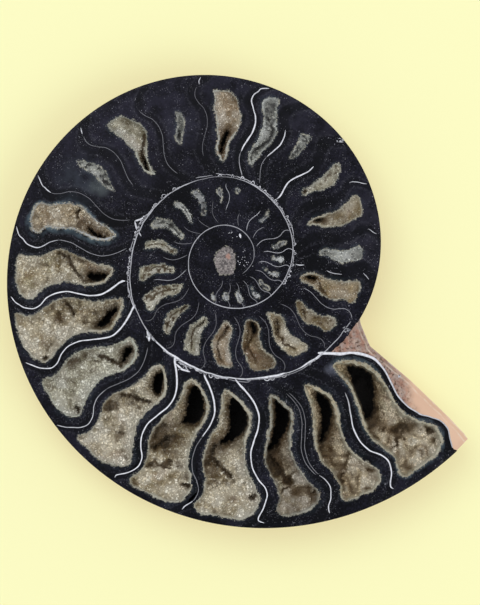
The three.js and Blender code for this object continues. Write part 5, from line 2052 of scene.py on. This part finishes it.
@dataclass(frozen=True)
class SpiralWall:
    """The wall between the whorls, with the strands and small loops that cling to it.

    Inset, widths and brightness are read by turn angle. Frayed stretches carry strands and loops.
    """

    start: float = -48.0
    end: float = 693.0
    inset: Pairs = (
        (-48, 0.86), (-28, 0.872), (-4, 0.927), (20, 0.957), (52, 0.98), (92, 1.002), (124, 0.983),
        (156, 0.959), (196, 0.941), (244, 0.92), (284, 0.911), (332, 0.923), (372, 0.949),
        (412, 0.955), (440, 0.985), (455, 0.985), (472, 0.968), (540, 0.957), (564, 0.972),
        (588, 0.966), (612, 0.949), (644, 0.954), (662, 0.968), (693, 0.955),
    )
    widths: Pairs = (
        (-48, 0.16), (0, 0.22), (280, 0.26), (292, 0.14), (325, 0.16), (335, 0.3), (480, 0.28),
        (500, 0.42), (516, 0.54), (545, 0.5), (552, 0.34), (592, 0.34), (600, 0.52), (615, 0.52),
        (619, 0.22), (632, 0.24), (636, 0.44), (648, 0.44), (656, 0.24), (693, 0.22),
    )
    bright: Pairs = (
        (-48, 0.2), (-10, 0.42), (100, 0.6), (212, 0.52), (272, 0.7), (286, 0.4), (320, 0.3),
        (334, 0.6), (415, 0.6), (428, 0.35), (442, 0.6), (468, 0.4), (486, 0.6), (505, 0.95),
        (516, 1), (540, 1), (550, 0.85), (592, 0.85), (602, 1), (615, 1), (621, 0.75), (630, 0.8),
        (636, 1), (647, 1), (656, 0.65), (693, 0.45),
    )
    frayed: Pairs = ((335, 465), (484, 560), (594, 670))
    points: int = 900
    width_steps: int = 300
    loop_every: float = 2.6
    strand_every: float = 9.0
    seed: int = 12

    def at(self, turn: Array, out: Array | float = 0.0) -> Array:
        """Places on the wall, moved outward by a distance."""
        radius = coil.wall(turn) * follow(self.inset, turn) + out
        angle = np.radians(turn)
        places = np.column_stack((radius * np.cos(angle), radius * np.sin(angle)))
        return places * (1 + 0.004 * lumps(*places.T, 1.7, 71))[:, None]

    def draw_on(self, work: LineWork) -> None:
        """Draws the wall, its strands and its loops."""
        turn = np.linspace(self.start, self.end, self.points)
        steps = np.linspace(self.start, self.end, self.width_steps)
        widths, bright = (np.interp(steps, *np.array(told).T) for told in (self.widths, self.bright))
        work.draw(self.at(turn), widths, bright)
        rng = np.random.default_rng(self.seed)
        for start, end in self.frayed:
            for first in np.arange(start, end, self.strand_every):
                strand = first + np.linspace(0, rng.uniform(5, 13), 24)
                away = rng.uniform(0.25, 0.6) + rng.uniform(-0.3, 0.3) * np.linspace(0, 1, 24)
                work.draw(self.at(strand, away), (0.16, 0.22), (rng.uniform(0.35, 0.8),) * 2)
            for first in np.arange(start, end, self.loop_every):
                swing = np.linspace(0, 1, 14)
                arc = first + swing * rng.uniform(1.2, 3.4)
                height = rng.uniform(0.5, 1.1) * np.sin(math.pi * swing) ** 0.6
                if rng.uniform() < 0.6:
                    work.draw(self.at(arc, height), (0.18, 0.24), (rng.uniform(0.4, 1.0),) * 2)


@dataclass(frozen=True)
class Splinters:
    """Short pale splinters scattered round a place on the face."""

    place: tuple[float, float]
    reach: tuple[float, float]
    count: int
    length: float = 0.8
    width: float = 0.3
    bright: float = 0.8

    def draw_on(self, work: LineWork, rng: np.random.Generator) -> None:
        """Draws the splinters."""
        for _ in range(self.count):
            middle = np.array(self.place) + rng.normal(0, 0.5, 2) * self.reach
            angle = rng.uniform(0, math.pi)
            way = np.array((math.cos(angle), math.sin(angle))) * self.length * rng.uniform(0.4, 1)
            bow = np.array((-way[1], way[0])) * rng.uniform(-0.3, 0.3)
            spots = np.array((middle - way / 2, middle + bow, middle + way / 2))
            work.draw(spots, (self.width,) * 2, (self.bright * rng.uniform(0.5, 1),) * 2)


# Single pale strokes: places along each, width and brightness
STROKES = (
    (((-26.4, 10.6), (-24.8, 11.1), (-23.0, 12.0)), 0.5, 0.9),
    (((-26.4, 10.6), (-25.9, 8.6), (-24.6, 6.4)), 0.4, 0.8),
    (((-25.8, 8.1), (-24.9, 10.2), (-23.2, 11.8)), 0.3, 0.6),
    (((-23.0, -20.2), (-22.4, -21.4), (-22.4, -23.0)), 0.8, 1.0),
    (((-21.8, -21.3), (-21.4, -22.4), (-20.4, -23.2)), 0.45, 0.9),
    (((-14.8, -29.4), (-13.2, -30.9), (-10.9, -31.6)), 0.5, 1.0),
    (((-14.2, -28.9), (-12.2, -29.9), (-11.6, -31.2)), 0.3, 0.8),
    (((3.0, 7.1), (3.1, 6.6), (3.3, 5.9)), 0.7, 1.0),
)

SPLINTER_SEED = 23
SEPTUM_PEN = 0.66
LAST_WHORL_FROM = 700.0

SPLINTERS = (
    Splinters((-22.4, -21.8), (0.9, 1.0), 5, 0.6, 0.3, 0.9),
    Splinters((-12.9, -30.5), (1.4, 0.8), 6, 0.6, 0.3, 0.9),
    Splinters((2.4, 6.4), (0.7, 0.7), 4, 0.3, 0.25, 0.8),
    Splinters((0.3, 7.3), (0.6, 0.5), 5, 0.4, 0.35, 0.7),
    Splinters((4.3, -0.3), (1.8, 2.8), 18, 0.3, 0.35, 0.9),
    Splinters((47.6, -32.9), (0.6, 0.4), 4, 0.7, 0.4, 1.0),
    Splinters((33.2, -19.8), (1.0, 0.9), 9, 0.8, 0.5, 0.6),
    Splinters((31.4, 33.0), (0.9, 0.7), 5, 0.8, 0.35, 0.8),
)


@dataclass(frozen=True)
class CorePatch:
    """The rough patch over the first whorls."""

    centre: tuple[float, float] = (-0.75, -0.85)
    radii: tuple[float, float] = (2.95, 4.1)
    salmon_centre: tuple[float, float] = (-0.3, 0.75)
    salmon_radius: float = 0.8
    sides: int = 240
    narrowing: float = 0.2
    edge_relief: Relief = ((0.14, 1.7, 61), (0.12, 0.8, 62), (0.09, 0.37, 63), (0.05, 0.16, 64))
    thickness: float = 0.4

    def edge(self) -> Array:
        """The patch's ragged outline, narrower below."""
        angle = np.linspace(0, math.tau, self.sides, endpoint=False)
        ray = np.column_stack((np.cos(angle), np.sin(angle)))
        radii = np.array(self.radii) * (1 + raised(ray * 2, self.edge_relief))[:, None]
        radii[:, 0] *= 1 - self.narrowing * np.clip(-ray[:, 1], 0, 1)
        return np.array(self.centre) + ray * radii

    def build(self, finish: Material) -> Workpiece:
        """Builds the patch."""
        centre = np.array(self.centre)
        edge = self.edge() - centre
        scales = np.append(np.linspace(0, 0.97, 22), 1.0)
        rings = [in_frame(centre + edge * scale, CORE_PATCH) for scale in scales]
        rings += [in_frame(centre + edge * scale, self.thickness) for scale in (1, 0)]
        piece = Workpiece.rolled("core_patch", rings)
        places = on_face(piece.points())
        away = np.hypot(*(places - self.salmon_centre).T) + 0.25 * lumps(*places.T, 0.6, 65)
        piece.mark("salmon", 1 - ramp(away, self.salmon_radius * 0.6, self.salmon_radius * 1.2))
        piece.dress(finish, "sediment")
        return piece


# Stage


@dataclass(frozen=True)
class Softbox:
    """A large soft light."""

    name: str
    place: tuple[float, float, float]
    size: float
    power: float
    colour: tuple[float, float, float] = (1.0, 0.965, 0.92)

    def build(self, target: Sequence[float]) -> None:
        """Adds the light, turned to the target."""
        light = bpy.data.lights.new(self.name, "AREA")
        light.shape = "DISK"
        light.size = self.size
        light.energy = self.power
        light.color = self.colour
        body = bpy.data.objects.new(self.name, light)
        bpy.context.scene.collection.objects.link(body)
        turn_to(body, self.place, target)


def turn_to(body: Body, place: Sequence[float], target: Sequence[float]) -> None:
    """Puts a light or camera at a place and points it at a target."""
    body.location = place
    body.rotation_euler = (Vector(target) - Vector(place)).to_track_quat("-Z", "Y").to_euler()


@dataclass(frozen=True)
class Studio:
    """Pale floor, soft light from the sides and the camera straight above."""

    aim: tuple[float, float] = (0.59, -0.27)
    seen_height: float = 169.4
    distance: float = 0.9
    sensor: float = 36.0
    world: Colour = (0.93, 1.0, 1.03, 1.0)
    world_strength: float = 0.62
    floor_size: float = 6.0
    lights: tuple[Softbox, ...] = (
        Softbox("key_light", (-0.36, 0.46, 1.12), 0.95, 5.2),
        Softbox("fill_light", (0.62, -0.36, 0.95), 0.8, 3.2),
    )

    def build(self) -> None:
        """Builds the floor, lights, world and camera."""
        bpy.ops.object.select_all(action="DESELECT")
        bpy.ops.mesh.primitive_plane_add(size=self.floor_size)
        floor = bpy.context.active_object
        floor.name = "floor"
        floor.data.materials.append(PaperFinish().make())
        for light in self.lights:
            light.build((0, 0, 0))
        world = bpy.data.worlds.new("studio")
        world.use_nodes = True
        sky = world.node_tree.nodes["Background"]
        sky.inputs["Color"].default_value = self.world
        sky.inputs["Strength"].default_value = self.world_strength
        bpy.context.scene.world = world
        bpy.context.scene.view_settings.view_transform = "Standard"
        self.camera()

    def camera(self) -> None:
        """Adds the camera, whose view is as high as the photograph's at the sawn face."""
        lens = bpy.data.cameras.new("camera")
        lens.sensor_fit = "VERTICAL"
        lens.sensor_height = self.sensor
        lens.lens = self.sensor * self.distance / (self.seen_height * MM)
        lens.clip_end = 50
        body = bpy.data.objects.new("camera", lens)
        bpy.context.scene.collection.objects.link(body)
        body.location = (self.aim[0] * MM, self.aim[1] * MM, FACE_TOP + self.distance)
        bpy.context.scene.camera = body


def build_chambers(stone: StoneHalf) -> None:
    """Builds the stone with its chambers, and the crust of each chamber."""
    hollows = Workpiece.joined("hollows", [chamber.hollow() for chamber in CHAMBERS])
    turns = [septum.turn() for septum in SEPTA if septum.turn() > LAST_WHORL_FROM]
    finish = StoneFinish(dust=dust_group(), septa=septum_group(turns)).make()
    stone.build(hollows, finish)
    Margins().build(finish)
    crystal, patches = Crystal.modelled(), []
    grain = Crystal.modelled(slenderness=GRAIN_HALF_HEIGHT, blunt=1)
    for chamber in CHAMBERS:
        crust = Crust(chamber, crystal, grain).build()
        if chamber.number < FIRST_SMALL_PATCH:
            crust.body.name = crust.body.data.name = f"crust_{chamber.number:02d}"
            crust.dress(chamber.tone.finish(), "druse", [f"druse_{chamber.number:02d}"])
        else:
            patches.append(crust)
    Workpiece.joined("inner_druse", patches).dress(Tone.PALE.finish(), "druse")


def build_lines() -> None:
    """Builds the pale lines of the septa and of the spiral wall."""
    calcite = CalciteFinish().make()
    septa = LineWork("septa", LINE_TOP, pen=SEPTUM_PEN)
    for septum in SEPTA:
        septum.draw_on(septa)
    OldSepta().draw_on(septa)
    septa.finish(calcite)
    wall = LineWork("spiral_wall", WALL_TOP)
    SpiralWall().draw_on(wall)
    rng = np.random.default_rng(SPLINTER_SEED)
    for group in SPLINTERS:
        group.draw_on(wall, rng)
    for spots, width, bright in STROKES:
        wall.draw(np.array(spots), (width, width), (bright, bright))
    wall.finish(calcite)


def main() -> None:
    """Builds the whole half and its stage."""
    logging.basicConfig(level=logging.INFO, format="%(name)s: %(message)s")
    stone = StoneHalf()
    build_chambers(stone)
    SedimentEnd(stone).build(SedimentFinish().make())
    CorePatch().build(CoreFinish().make())
    build_lines()
    Studio().build()


if __name__ == "__main__":
    main()
